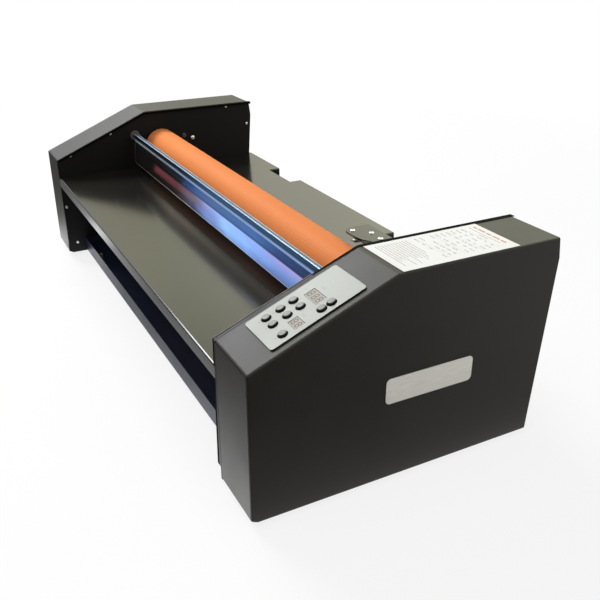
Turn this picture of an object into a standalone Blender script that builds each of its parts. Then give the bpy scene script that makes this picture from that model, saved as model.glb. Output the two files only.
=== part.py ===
"""Wide tabletop roll laminator, modelled as its separate pieces.

Frame of reference: metres, +Z up, +X to the operator's right, +Y to the back.
The origin is on the floor under the middle of the machine's box.
"""
import bpy
import bmesh
from math import atan, cos, pi, radians, sin, sqrt, tan
from mathutils import Matrix, Vector

# Overall sizes of the machine
overall_width = 1.000
body_depth = 0.4184
housing_width = 0.088
housing_height = 0.272
foot_height = 0.009

# Side outline of both housings, seen from the right
slope_fall = 0.077
knee_ahead = 0.0299
top_rear_step = 0.0038
bulge_fall = 0.0274
bottom_rear_step = 0.0157
toe_depth = 0.008
toe_height = 0.004

# Sheet metal
cover_sheet = 0.0015
cover_fold_radius = 0.0022
frame_plate = 0.003
wiring_hole_radius = 0.0085
wiring_hole_step = 0.0884
wiring_hole_height = 0.060
table_sheet = 0.0015
table_fold_radius = 0.0020
fit_gap = 0.0003
cut_overrun = 0.004
cutter_length = 0.016
weld_distance = 0.000003
fine_edge = 0.0004

# Tables, tray and feet
table_drop = 0.0104
table_skirt = 0.018
slot_front_gap = 0.0279
slot_rear_gap = 0.0281
notch_length = 0.092
notch_depth = 0.023
notch_left_share = 0.221
notch_right_share = 0.199
tray_front_depth = 0.036
tray_rear_step = 0.0334
tray_lip = 0.028
foot_radius = 0.014
foot_spread_share = 0.727
foot_inset = 0.017
foot_edge = 0.002

# Rollers
roller_radius = 0.0325
sleeve_wall = 0.006
sleeve_edge = 0.0015
core_wall = 0.0045
roller_depth = 0.2129
nip_drop = 0.1000
sleeve_left_margin = 0.007
sleeve_right_margin = 0.007
core_margin = 0.0035
journal_radius = 0.0125
journal_bore = 0.0085
journal_left_reach = 0.018
journal_right_reach = 0.039
heater_radius = 0.005
heater_overhang = 0.007

# Sliding bearing blocks of the upper roller and their springs
lift_travel = 0.004
block_width = 0.040
block_height = 0.036
block_reach = 0.020
ear_width = 0.052
ear_thickness = 0.006
cap_radius = 0.018
cap_thickness = 0.003
spring_offset = 0.009
spring_radius = 0.0065
spring_wire = 0.0016
spring_turns = 4
spring_turn_steps = 10
seat_rise = 0.0780
seat_width = 0.024
seat_sheet = 0.002
seat_foot = 0.016
seat_reach = 0.0215
seat_fold_radius = 0.0009
holder_reach = 0.0430
holder_drop = 0.060

# Fixed bearings of the lower roller
bearing_radius = 0.017
bearing_flange_radius = 0.021
bearing_flange = 0.0025
bearing_length = 0.0095

# Gears
gear_module = 0.0025
roller_gear_teeth = 26
pinion_teeth = 16
pressure_angle = radians(20)
tooth_backlash = 0.0004
gear_width = 0.012
gear_offset = 0.023
gear_hole_radius = 0.0058
gear_hole_count = 4
pinion_tooth_steps = 9
flank_shares = (0, 0.5, 1)
tooth_clearance = 0.0012

# Gear motor and its bracket
motor_radius = 0.024
motor_length = 0.026
gearbox_radius = 0.028
gearbox_length = 0.016
motor_shaft_radius = 0.004
motor_shaft_depth = 0.011
motor_stand = 0.035
motor_sheet = 0.002
motor_foot = 0.012
motor_nose_radius = 0.009
motor_fold_radius = 0.0012

# Safety guard in front of the upper roller
guard_ahead = 0.0524
guard_rise = 0.0556
guard_lean = radians(6)
rail_depth = 0.0078
rail_above_pivot = 0.0043
rail_below_pivot = 0.0055
rail_end_gap = 0.0035
rail_groove = 0.0009
rail_edge = 0.0006
rail_lip = 0.0007
sheet_thickness = 0.0024
sheet_table_gap = 0.0144
sheet_rebate = 0.0024
sheet_corner = 0.012
sheet_side_gap = 0.0085
guard_pin_radius = 0.002
guard_pin_depth = 0.024
guard_bush_radius = 0.0062
guard_bush_flange_radius = 0.010
guard_bush_flange = 0.003

# Temperature sensor on its bracket at the right end of the upper roller
sensor_plate_reach = 0.109
sensor_plate_ahead = 0.0146
sensor_plate_length = 0.0525
sensor_plate_rise = 0.0780
sensor_plate_sheet = 0.0025
sensor_plate_tab = 0.018
sensor_plate_corner = 0.012
sensor_plate_fold = 0.0009
sensor_slot_radius = 0.0018
sensor_radius = 0.004
sensor_head_radius = 0.006
sensor_head = 0.003
sensor_reach = 0.034
sensor_behind = 0.0246

# Control panel on the slope of the right housing
panel_width = 0.068
panel_length = 0.125
panel_side = 0.011
panel_rise = 0.037
panel_thickness = 0.0016
panel_corner = 0.004
button_radius = 0.005
button_height = 0.0026
button_travel = 0.0008
button_clearance = 0.0003
button_collar_radius = 0.0062
button_collar = 0.0009
plunger_radius = 0.0016
button_edge = 0.0007
board_depth = 0.0100
board_thickness = 0.0016
board_width = 0.060
board_length = 0.106
board_shift = -0.001
switch_body = 0.006
switch_height = 0.0035
post_radius = 0.0022
post_inset = 0.0029
display_height = 0.008
temp_display_width = 0.0275
temp_display_length = 0.0140
speed_display_width = 0.0176
speed_display_length = 0.0126
window_gap = 0.0004
cutout_width = 0.062
cutout_length = 0.110

# Places on the panel, as shares of its width from the outer side and of its length
button_place_shares = {
    "button_temp_up": (0.797, 0.178),
    "button_temp_down": (0.551, 0.178),
    "button_reverse": (0.195, 0.175),
    "button_heat": (0.797, 0.330),
    "button_cold": (0.551, 0.330),
    "button_run": (0.797, 0.470),
    "button_stop": (0.551, 0.470),
    "button_speed_up": (0.182, 0.578),
    "button_speed_down": (0.182, 0.682),
}
temp_display_share = (0.555, 0.629)
speed_display_share = (0.241, 0.330)

# Printed label on the right housing's top and bare plate on its outer side
label_width = 0.0820
label_length_share = 0.708
label_inset = 0.0016
label_start_gap = 0.005
label_thickness = 0.0004
badge_length = 0.124
badge_height = 0.034
badge_depth_share = 0.5605
badge_height_share = 0.4596
badge_thickness = 0.0008
badge_corner = 0.006

# Power inlet, switch and boards
inlet_side = 0.044
inlet_height = 0.048
inlet_flange_width = 0.050
inlet_flange_height = 0.028
inlet_flange = 0.002
inlet_body_width = 0.030
inlet_body_height = 0.022
inlet_body_depth = 0.020
inlet_recess_width = 0.024
inlet_recess_height = 0.0162
inlet_recess_depth = 0.016
inlet_pin_width = 0.002
inlet_pin_height = 0.004
inlet_pin_length = 0.013
inlet_pin_spread = 0.007
switch_rise = 0.042
rocker_frame_width = 0.019
rocker_frame_height = 0.025
rocker_frame_flange = 0.002
rocker_frame_depth = 0.014
rocker_width = 0.0125
rocker_length = 0.0175
rocker_swing = radians(20)
rocker_crown = 0.0030
rocker_dish = 0.0016
power_board_width = 0.100
power_board_height = 0.080
power_board_thickness = 0.0016
power_board_depth = 0.090
power_board_centre_height = 0.085
power_board_stand = 0.006
power_post_inset = 0.0044
transformer_size = (0.034, 0.040, 0.030)
transformer_shares = (-0.20, -0.17)
relay_size = (0.016, 0.020, 0.016)
relay_shares = (0.25, 0.25)
capacitor_radius = 0.008
capacitor_height = 0.020
capacitor_shares = (0.25, -0.17)

# Facets on round forms
fine_steps = 44
core_steps = 32
round_steps = 24
small_steps = 16
tiny_steps = 8
hole_steps = 12
corner_steps = 6

# Places worked out from the sizes above
side_plane = overall_width / 2
plate_outer = side_plane - housing_width + frame_plate
plate_inner = side_plane - housing_width
front_y = -body_depth / 2
base_z = foot_height
front_height = housing_height - slope_fall
bulge_height = housing_height - bulge_fall
knee_depth = roller_depth - knee_ahead
top_rear_depth = body_depth - top_rear_step
bottom_rear_depth = body_depth - bottom_rear_step
nip_height = housing_height - nip_drop
table_height = nip_height - table_drop
slot_front_depth = roller_depth - slot_front_gap
slot_rear_depth = roller_depth + slot_rear_gap
tray_rear_depth = body_depth - tray_rear_step
wiring_hole_depth = body_depth - wiring_hole_step
seat_height = nip_height + seat_rise
guard_pivot_depth = roller_depth - guard_ahead
guard_pivot_height = nip_height + guard_rise
sheet_bottom_height = table_height + sheet_table_gap
sensor_plate_left = plate_inner - sensor_plate_reach
sensor_plate_front = roller_depth + sensor_plate_ahead
sensor_plate_height = nip_height + sensor_plate_rise
sensor_x = plate_inner - sensor_reach
sensor_depth = roller_depth + sensor_behind
label_length = (top_rear_depth - knee_depth) * label_length_share
label_start_depth = knee_depth + label_start_gap
upper_axis_z = nip_height + roller_radius + fit_gap / 2
lower_axis_z = nip_height - roller_radius - fit_gap / 2
core_end = plate_inner - core_margin
core_radius = roller_radius - sleeve_wall - fit_gap
slope_angle = atan((housing_height - front_height) / knee_depth)
rear_lean = atan((body_depth - bottom_rear_depth) / bulge_height)
roller_gear_radius = gear_module * roller_gear_teeth / 2
pinion_radius = gear_module * pinion_teeth / 2
mesh_distance = roller_gear_radius + pinion_radius
pinion_direction = pi / 2 - pinion_tooth_steps * 2 * pi / roller_gear_teeth

# Rotations that stand a flat outline, or a turned piece, in its place
face_right = (pi / 2, 0, pi / 2)
axis_right = (0, pi / 2, 0)
axis_left = (0, -pi / 2, 0)


def place(x, depth, height):
    """World place from the distance behind the front face and the height over the base."""
    return Vector((x, front_y + depth, base_z + height))


def clear_scene():
    for old in list(bpy.data.objects):
        bpy.data.objects.remove(old, do_unlink=True)


def new_collection(name):
    collection = bpy.data.collections.new(name)
    bpy.context.scene.collection.children.link(collection)
    return collection


clear_scene()
machine = new_collection("roll_laminator")
helpers = new_collection("cutters")


def make_material(name, colour, roughness, metallic=0.0, alpha=1.0):
    material = bpy.data.materials.new(name)
    material.use_nodes = True
    shader = material.node_tree.nodes["Principled BSDF"]
    shader.inputs["Base Color"].default_value = (*colour, 1.0)
    shader.inputs["Roughness"].default_value = roughness
    shader.inputs["Metallic"].default_value = metallic
    shader.inputs["Alpha"].default_value = alpha
    return material


powder_black = make_material("powder_black", (0.030, 0.028, 0.025), 0.45)
plate_black = make_material("plate_black", (0.014, 0.013, 0.012), 0.5)
table_grey = make_material("table_grey", (0.060, 0.058, 0.045), 0.35)
silicone_orange = make_material("silicone_orange", (0.93, 0.27, 0.09), 0.42)
bare_aluminium = make_material("bare_aluminium", (0.60, 0.61, 0.62), 0.32, 1.0)
plated_steel = make_material("plated_steel", (0.66, 0.65, 0.62), 0.3, 1.0)
gear_nylon = make_material("gear_nylon", (0.78, 0.76, 0.70), 0.5)
bearing_plastic = make_material("bearing_plastic", (0.05, 0.05, 0.055), 0.5)
guard_acrylic = make_material("guard_acrylic", (0.10, 0.17, 0.45), 0.08, 0.0, 0.55)
rail_blue = make_material("rail_blue", (0.16, 0.19, 0.26), 0.3, 1.0)
panel_silver = make_material("panel_silver", (0.58, 0.62, 0.56), 0.4, 0.2)
button_grey = make_material("button_grey", (0.13, 0.14, 0.13), 0.45)
display_dark = make_material("display_dark", (0.45, 0.42, 0.38), 0.2)
board_green = make_material("board_green", (0.02, 0.16, 0.07), 0.5)
label_white = make_material("label_white", (0.85, 0.85, 0.82), 0.5)
badge_silver = make_material("badge_silver", (0.60, 0.58, 0.50), 0.35, 0.6)
rubber_black = make_material("rubber_black", (0.015, 0.015, 0.015), 0.85)
quartz_white = make_material("quartz_white", (0.75, 0.76, 0.76), 0.25)


def finish(piece, name, material, parent=None):
    """Name a piece, colour it, put it with the others and hang it on its parent."""
    piece.name = name
    piece.data.name = name
    piece.data.materials.clear()
    piece.data.materials.append(material)
    for collection in list(piece.users_collection):
        collection.objects.unlink(piece)
    machine.objects.link(piece)
    piece.parent = parent
    return piece


def make_empty(name, location, rotation=(0, 0, 0)):
    empty = bpy.data.objects.new(name, None)
    empty.empty_display_size = block_height
    empty.location = location
    empty.rotation_euler = rotation
    machine.objects.link(empty)
    return empty


def object_from_bmesh(bm, name="piece"):
    mesh = bpy.data.meshes.new(name)
    bm.to_mesh(mesh)
    bm.free()
    piece = bpy.data.objects.new(name, mesh)
    machine.objects.link(piece)
    return piece


def as_mesh_object(source):
    """Swap a curve, or a piece with modifiers, for its welded mesh in the same place."""
    bpy.context.view_layer.update()
    evaluated = source.evaluated_get(bpy.context.evaluated_depsgraph_get())
    mesh = bpy.data.meshes.new_from_object(evaluated)
    bm = bmesh.new()
    bm.from_mesh(mesh)
    bmesh.ops.remove_doubles(bm, verts=bm.verts, dist=weld_distance)
    bmesh.ops.recalc_face_normals(bm, faces=bm.faces)
    bm.to_mesh(mesh)
    bm.free()
    piece = bpy.data.objects.new(source.name, mesh)
    piece.matrix_world = source.matrix_world
    machine.objects.link(piece)
    bpy.data.objects.remove(source, do_unlink=True)
    return piece


def circle_points(radius, centre=(0, 0), steps=round_steps, start=0.0):
    return [(centre[0] + radius * cos(start + 2 * pi * i / steps),
             centre[1] + radius * sin(start + 2 * pi * i / steps)) for i in range(steps)]


def rectangle_points(width, height, centre=(0, 0)):
    half_w, half_h = width / 2, height / 2
    return [(centre[0] - half_w, centre[1] - half_h), (centre[0] + half_w, centre[1] - half_h),
            (centre[0] + half_w, centre[1] + half_h), (centre[0] - half_w, centre[1] + half_h)]


def rounded_points(width, height, radius, centre=(0, 0), steps=corner_steps):
    """Rectangle whose corners are quarter circles."""
    points = []
    for quarter in range(4):
        sign_x = (1, -1, -1, 1)[quarter]
        sign_y = (1, 1, -1, -1)[quarter]
        corner = (centre[0] + sign_x * (width / 2 - radius), centre[1] + sign_y * (height / 2 - radius))
        for i in range(steps + 1):
            turn = (quarter + i / steps) * pi / 2
            points.append((corner[0] + radius * cos(turn), corner[1] + radius * sin(turn)))
    return points


def slot_points(radius, length, centre=(0, 0), steps=tiny_steps):
    """Upright slot with round ends; length is between the two end centres."""
    points = []
    for side in (0, 1):
        shift = length / 2 if side == 0 else -length / 2
        for i in range(steps + 1):
            turn = side * pi + pi * i / steps
            points.append((centre[0] + radius * cos(turn), centre[1] + shift + radius * sin(turn)))
    return points


def flat_outline(name, outlines, thickness):
    """Plate from an outline and its holes; it is centred on its own thickness."""
    curve = bpy.data.curves.new(name, "CURVE")
    curve.dimensions = "2D"
    curve.fill_mode = "BOTH"
    curve.extrude = thickness / 2
    for points in outlines:
        spline = curve.splines.new("POLY")
        spline.points.add(len(points) - 1)
        for point, (x, y) in zip(spline.points, points):
            point.co = (x, y, 0, 1)
        spline.use_cyclic_u = True
    piece = bpy.data.objects.new(name, curve)
    machine.objects.link(piece)
    return piece


def folded_sheet(outline, depth, folded, sheet, fold_radius, flip=False):
    """Flat face with some of its edges folded down, thickened inwards.

    folded tells from an edge's middle whether that edge gets a fold. flip folds it up.
    """
    flat = as_mesh_object(flat_outline("sheet", [outline], 0))
    bm = bmesh.new()
    bm.from_mesh(flat.data)
    bmesh.ops.dissolve_limit(bm, angle_limit=radians(1), verts=bm.verts, edges=bm.edges)
    bm.faces.ensure_lookup_table()
    if bm.faces[0].normal.z < 0:
        bmesh.ops.reverse_faces(bm, faces=bm.faces)
    edges = [e for e in bm.edges if folded((e.verts[0].co + e.verts[1].co) / 2)]
    result = bmesh.ops.extrude_edge_only(bm, edges=edges)
    low_verts = [v for v in result["geom"] if isinstance(v, bmesh.types.BMVert)]
    bmesh.ops.translate(bm, verts=low_verts, vec=(0, 0, -depth))
    bmesh.ops.recalc_face_normals(bm, faces=bm.faces)
    top = max(bm.faces, key=lambda f: f.calc_center_median().z)
    if top.normal.z < 0:
        bmesh.ops.reverse_faces(bm, faces=bm.faces)
    if flip:
        bmesh.ops.scale(bm, vec=(1, 1, -1), verts=bm.verts)
        bmesh.ops.reverse_faces(bm, faces=bm.faces)
    bpy.data.objects.remove(flat, do_unlink=True)
    piece = object_from_bmesh(bm)
    add_bevel(piece, fold_radius)
    solid = piece.modifiers.new("Solidify", "SOLIDIFY")
    solid.thickness = sheet
    solid.offset = -1
    solid.use_even_offset = True
    return piece


def bent_strip(profile, width, sheet, fold_radius):
    """Strip folded along a line of points in local X and Y; its width runs along local Z."""
    bm = bmesh.new()
    line = [bm.verts.new((x, y, -width / 2)) for x, y in profile]
    edges = [bm.edges.new(pair) for pair in zip(line, line[1:])]
    result = bmesh.ops.extrude_edge_only(bm, edges=edges)
    far = [v for v in result["geom"] if isinstance(v, bmesh.types.BMVert)]
    bmesh.ops.translate(bm, verts=far, vec=(0, 0, width))
    piece = object_from_bmesh(bm)
    add_bevel(piece, fold_radius)
    solid = piece.modifiers.new("Solidify", "SOLIDIFY")
    solid.thickness = sheet
    solid.offset = 1
    solid.use_even_offset = True
    return piece


def add_bevel(piece, width, segments=2, angle=radians(20)):
    bevel = piece.modifiers.new("Bevel", "BEVEL")
    bevel.width = width
    bevel.segments = segments
    bevel.limit_method = "ANGLE"
    bevel.angle_limit = angle
    bevel.use_clamp_overlap = True
    return bevel


def box(size, centre=(0, 0, 0)):
    bm = bmesh.new()
    bmesh.ops.create_cube(bm, size=1)
    bmesh.ops.scale(bm, vec=size, verts=bm.verts)
    bmesh.ops.translate(bm, vec=centre, verts=bm.verts)
    return object_from_bmesh(bm)


def cylinder(radius, depth, centre=(0, 0, 0), steps=round_steps):
    bm = bmesh.new()
    bmesh.ops.create_cone(bm, cap_ends=True, segments=steps, radius1=radius, radius2=radius, depth=depth)
    bmesh.ops.translate(bm, vec=centre, verts=bm.verts)
    return object_from_bmesh(bm)


def turned(profile, steps=fine_steps, hollow=False):
    """Solid turned about its local Z from (radius, height) points, outer side from the top down."""
    bm = bmesh.new()
    verts = [bm.verts.new((radius, 0, height)) for radius, height in profile]
    for pair in zip(verts, verts[1:]):
        bm.edges.new(pair)
    if hollow:
        bm.edges.new((verts[-1], verts[0]))
    piece = object_from_bmesh(bm)
    screw = piece.modifiers.new("Screw", "SCREW")
    screw.axis = "Z"
    screw.steps = steps
    screw.render_steps = steps
    screw.use_merge_vertices = True
    screw.merge_threshold = weld_distance
    screw.use_smooth_shade = True
    return piece


def smooth(piece, angle=radians(35)):
    piece.data.shade_smooth()
    piece.data.set_sharp_from_angle(angle=angle)
    return piece


def combine(piece, others, operation):
    """Cut or join meshes into a piece; the tools stay out of the finished machine."""
    for other in others:
        step = piece.modifiers.new("Boolean", "BOOLEAN")
        step.operation = operation
        step.object = other
        step.solver = "EXACT"
        other.display_type = "WIRE"
        other.hide_render = True
        for collection in list(other.users_collection):
            collection.objects.unlink(other)
        helpers.objects.link(other)
    return piece


def moved(piece, location=(0, 0, 0), rotation=(0, 0, 0), parent=None):
    piece.location = location
    piece.rotation_euler = rotation
    piece.parent = parent
    return piece


def housing_outline():
    """Side view of a housing: distance behind the front face, height over its base."""
    return [(toe_depth, 0), (bottom_rear_depth, 0), (body_depth, bulge_height),
            (top_rear_depth, housing_height), (knee_depth, housing_height),
            (0, front_height), (0, toe_height)]


def make_cover(name, side):
    """Sheet cover, open towards the middle of the machine."""
    outline = housing_outline()
    depth = side_plane - plate_outer - fit_gap
    cover = folded_sheet(outline, depth, lambda middle: True, cover_sheet, cover_fold_radius, side < 0)
    finish(cover, name, powder_black)
    moved(cover, place(side * side_plane, 0, 0), face_right)
    return cover


def make_frame_plate(name, side):
    """Steel plate that closes a housing and carries the rollers."""
    upper = (roller_depth, upper_axis_z)
    lower = (roller_depth, lower_axis_z)
    window_height = block_height + lift_travel + 2 * fit_gap
    window_centre = (roller_depth, upper_axis_z + lift_travel / 2)
    holes = [
        rectangle_points(block_width + 2 * fit_gap, window_height, window_centre),
        circle_points(bearing_radius + fit_gap, lower),
        circle_points(guard_bush_radius + fit_gap, (guard_pivot_depth, guard_pivot_height), small_steps),
    ]
    if side > 0:
        holes.append(circle_points(wiring_hole_radius, (wiring_hole_depth, wiring_hole_height), small_steps))
    plate = flat_outline(name, [housing_outline()] + holes, frame_plate)
    finish(plate, name, plate_black)
    moved(plate, place(side * (plate_inner + plate_outer) / 2, 0, 0), face_right)
    return plate


def make_tables():
    width = 2 * (plate_inner - fit_gap)
    front_length = slot_front_depth
    front_outline = rectangle_points(width, front_length, (0, front_length / 2))
    front = folded_sheet(front_outline, table_skirt, lambda m: m.y < front_length - table_sheet,
                         table_sheet, table_fold_radius)
    finish(front, "front_table", table_grey)
    moved(front, place(0, 0, table_height))

    rear_length = body_depth - slot_rear_depth - table_sheet
    half = width / 2
    notch_low = rear_length - notch_depth
    rear_outline = [(-half, 0), (half, 0), (half, rear_length)]
    for centre in (overall_width * notch_right_share, -overall_width * notch_left_share):
        rear_outline += [(centre + notch_length / 2, rear_length), (centre + notch_length / 2, notch_low),
                         (centre - notch_length / 2, notch_low), (centre - notch_length / 2, rear_length)]
    rear_outline.append((-half, rear_length))
    rear = folded_sheet(rear_outline, table_skirt, lambda m: m.y > table_sheet,
                        table_sheet, table_fold_radius)
    finish(rear, "rear_table", table_grey)
    moved(rear, place(0, slot_rear_depth, table_height))

    tray_length = tray_rear_depth - tray_front_depth
    tray_outline = rectangle_points(width, tray_length, (0, tray_length / 2))
    tray = folded_sheet(tray_outline, tray_lip, lambda m: True, table_sheet, table_fold_radius, True)
    finish(tray, "base_tray", powder_black)
    moved(tray, place(0, tray_front_depth, 0))


def make_feet():
    profile = [(0, 0), (foot_radius - foot_edge, 0), (foot_radius, -foot_edge),
               (foot_radius - foot_edge, fit_gap - foot_height + foot_edge),
               (foot_radius - 2 * foot_edge, fit_gap - foot_height), (0, fit_gap - foot_height)]
    for end, depth in (("front", tray_front_depth + foot_inset), ("rear", tray_rear_depth - foot_inset)):
        for name, side in (("left", -1), ("right", 1)):
            foot = turned(profile, round_steps)
            finish(foot, "foot_" + end + "_" + name, rubber_black)
            moved(foot, place(side * overall_width * foot_spread_share / 2, depth, -fit_gap))


def make_roller(prefix, axis, right_reach):
    """Aluminium core with turned journals and its silicone sleeve."""
    wall = core_radius - core_wall
    right_end = plate_inner + right_reach
    left_end = -plate_inner - journal_left_reach
    profile = [(journal_bore, right_end), (journal_radius, right_end), (journal_radius, core_end),
               (core_radius, core_end), (core_radius, -core_end), (journal_radius, -core_end),
               (journal_radius, left_end), (journal_bore, left_end),
               (journal_bore, -core_end + core_wall), (wall, -core_end + core_wall),
               (wall, core_end - core_wall), (journal_bore, core_end - core_wall)]
    core = turned(profile, core_steps, True)
    finish(core, prefix + "_roller_core", bare_aluminium)
    moved(core, (0, 0, 0), axis_right, axis)
    sleeve_left = -plate_inner + sleeve_left_margin
    sleeve_right = plate_inner - sleeve_right_margin
    sleeve_profile = [(core_radius + fit_gap, sleeve_right), (roller_radius - sleeve_edge, sleeve_right),
                      (roller_radius, sleeve_right - sleeve_edge),
                      (roller_radius, sleeve_left + sleeve_edge),
                      (roller_radius - sleeve_edge, sleeve_left), (core_radius + fit_gap, sleeve_left)]
    sleeve = turned(sleeve_profile, fine_steps, True)
    finish(sleeve, prefix + "_roller_sleeve", silicone_orange)
    moved(sleeve, (0, 0, 0), axis_right, axis)


def involute_gear_points(teeth, first_angle):
    """Outline of a spur gear with involute flanks; one tooth stands at first_angle."""
    pitch = gear_module * teeth / 2
    base = pitch * cos(pressure_angle)
    tip = pitch + gear_module
    root = pitch - gear_module * (1 + tan(pressure_angle) / 2)

    def roll(radius):
        ratio = max(radius / base, 1)
        spread = sqrt(ratio * ratio - 1)
        return spread - atan(spread)

    half_tooth = pi / (2 * teeth) - tooth_backlash / (2 * pitch)
    points = []
    for tooth in range(teeth):
        middle = first_angle + tooth * 2 * pi / teeth
        start = max(base, root)
        flank = [start + (tip - start) * share for share in flank_shares]
        widths = [half_tooth + roll(pitch) - roll(radius) for radius in flank]
        points.append((root * cos(middle - widths[0]), root * sin(middle - widths[0])))
        points += [(r * cos(middle - w), r * sin(middle - w)) for r, w in zip(flank, widths)]
        points += [(r * cos(middle + w), r * sin(middle + w)) for r, w in zip(flank[::-1], widths[::-1])]
        points.append((root * cos(middle + widths[0]), root * sin(middle + widths[0])))
    return points


def make_roller_gear(name, axis, first_angle):
    ring = (journal_radius + roller_gear_radius) / 2 - gear_module / 2
    outlines = [involute_gear_points(roller_gear_teeth, first_angle),
                circle_points(journal_radius + fit_gap, (0, 0), round_steps)]
    for index in range(gear_hole_count):
        turn = 2 * pi * index / gear_hole_count
        centre = (ring * cos(turn), ring * sin(turn))
        outlines.append(circle_points(gear_hole_radius, centre, hole_steps))
    gear = flat_outline(name, outlines, gear_width)
    finish(gear, name, gear_nylon)
    moved(gear, (plate_outer + gear_offset - frame_plate + gear_width / 2, 0, 0), face_right, axis)


def make_bearing_block(name, side, axis):
    """Block that carries a journal of the upper roller and slides in the plate's window."""
    body = box((block_width, block_height, block_reach), (0, 0, side * block_reach / 2))
    ear_start = frame_plate + fit_gap
    ears = box((ear_width, block_height - fit_gap, ear_thickness),
               (0, 0, side * (ear_start + ear_thickness / 2)))
    bore_radius = journal_radius + fit_gap
    if side < 0:
        cap_end = block_reach + cap_thickness
        cap = cylinder(cap_radius - fit_gap, 2 * cap_thickness, (0, 0, -block_reach))
        bore_end = journal_left_reach + 2 * fit_gap
        bore = cylinder(bore_radius, bore_end + cut_overrun, (0, 0, (cut_overrun - bore_end) / 2))
        lead = cylinder(heater_radius + fit_gap, cap_end + cut_overrun,
                        (0, 0, -(cap_end + cut_overrun) / 2), small_steps)
        combine(body, [ears, cap], "UNION")
        combine(body, [bore, lead], "DIFFERENCE")
        tools = [ears, cap, bore, lead]
    else:
        bore = cylinder(bore_radius, block_reach + 2 * cut_overrun, (0, 0, block_reach / 2))
        combine(body, [ears], "UNION")
        combine(body, [bore], "DIFFERENCE")
        tools = [ears, bore]
    finish(body, name, bearing_plastic)
    moved(body, (side * plate_inner, 0, 0), face_right, axis)
    for tool in tools:
        moved(tool, (side * plate_inner, 0, 0), face_right, axis)


def make_pressure_spring(name, side):
    """Coil between a bearing block and the seat above it."""
    low = upper_axis_z + block_height / 2 + fit_gap + spring_wire / 2
    high = seat_height - fit_gap - spring_wire / 2
    count = spring_turns * spring_turn_steps + 1
    curve = bpy.data.curves.new(name, "CURVE")
    curve.dimensions = "3D"
    curve.bevel_depth = spring_wire / 2
    curve.bevel_resolution = 1
    curve.use_fill_caps = True
    spline = curve.splines.new("POLY")
    spline.points.add(count - 1)
    for index, point in enumerate(spline.points):
        turn = 2 * pi * index / spring_turn_steps
        share = index / (count - 1)
        point.co = (spring_radius * cos(turn), spring_radius * sin(turn), (high - low) * share, 1)
    spring = bpy.data.objects.new(name, curve)
    machine.objects.link(spring)
    finish(spring, name, plated_steel)
    moved(spring, place(side * (plate_outer + spring_offset), roller_depth, low))


def make_spring_bracket(name, side):
    """Angle on the frame plate that backs the spring; the right one also holds the heater's end."""
    foot_x = plate_outer + fit_gap
    profile = [(foot_x, seat_height + seat_foot), (foot_x, seat_height + seat_sheet)]
    if side > 0:
        far_x = plate_inner + holder_reach
        profile += [(far_x, seat_height + seat_sheet), (far_x, seat_height - holder_drop)]
    else:
        profile.append((foot_x + seat_reach, seat_height + seat_sheet))
    points = [(side * x, height) for x, height in profile]
    if side < 0:
        points.reverse()
    bracket = bent_strip(points, seat_width, seat_sheet, seat_fold_radius)
    if side > 0:
        slot = flat_outline("heater_slot", [slot_points(heater_radius + fit_gap, lift_travel)],
                            cutter_length)
        slot = as_mesh_object(slot)
        moved(slot, place(far_x, roller_depth, upper_axis_z + lift_travel / 2), face_right)
        combine(bracket, [slot], "DIFFERENCE")
    finish(bracket, name, plated_steel)
    moved(bracket, place(0, roller_depth, 0), (pi / 2, 0, 0))


def make_lower_bearing(name, side):
    body_end = bearing_length
    flange_start = frame_plate + fit_gap
    profile = [(journal_radius + fit_gap, body_end), (bearing_radius, body_end),
               (bearing_radius, flange_start + bearing_flange),
               (bearing_flange_radius, flange_start + bearing_flange),
               (bearing_flange_radius, flange_start), (bearing_radius, flange_start),
               (bearing_radius, 0), (journal_radius + fit_gap, 0)]
    bearing = turned(profile, round_steps, True)
    finish(bearing, name, bearing_plastic)
    rotation = axis_right if side > 0 else axis_left
    moved(bearing, place(side * plate_inner, roller_depth, lower_axis_z), rotation)


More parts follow.
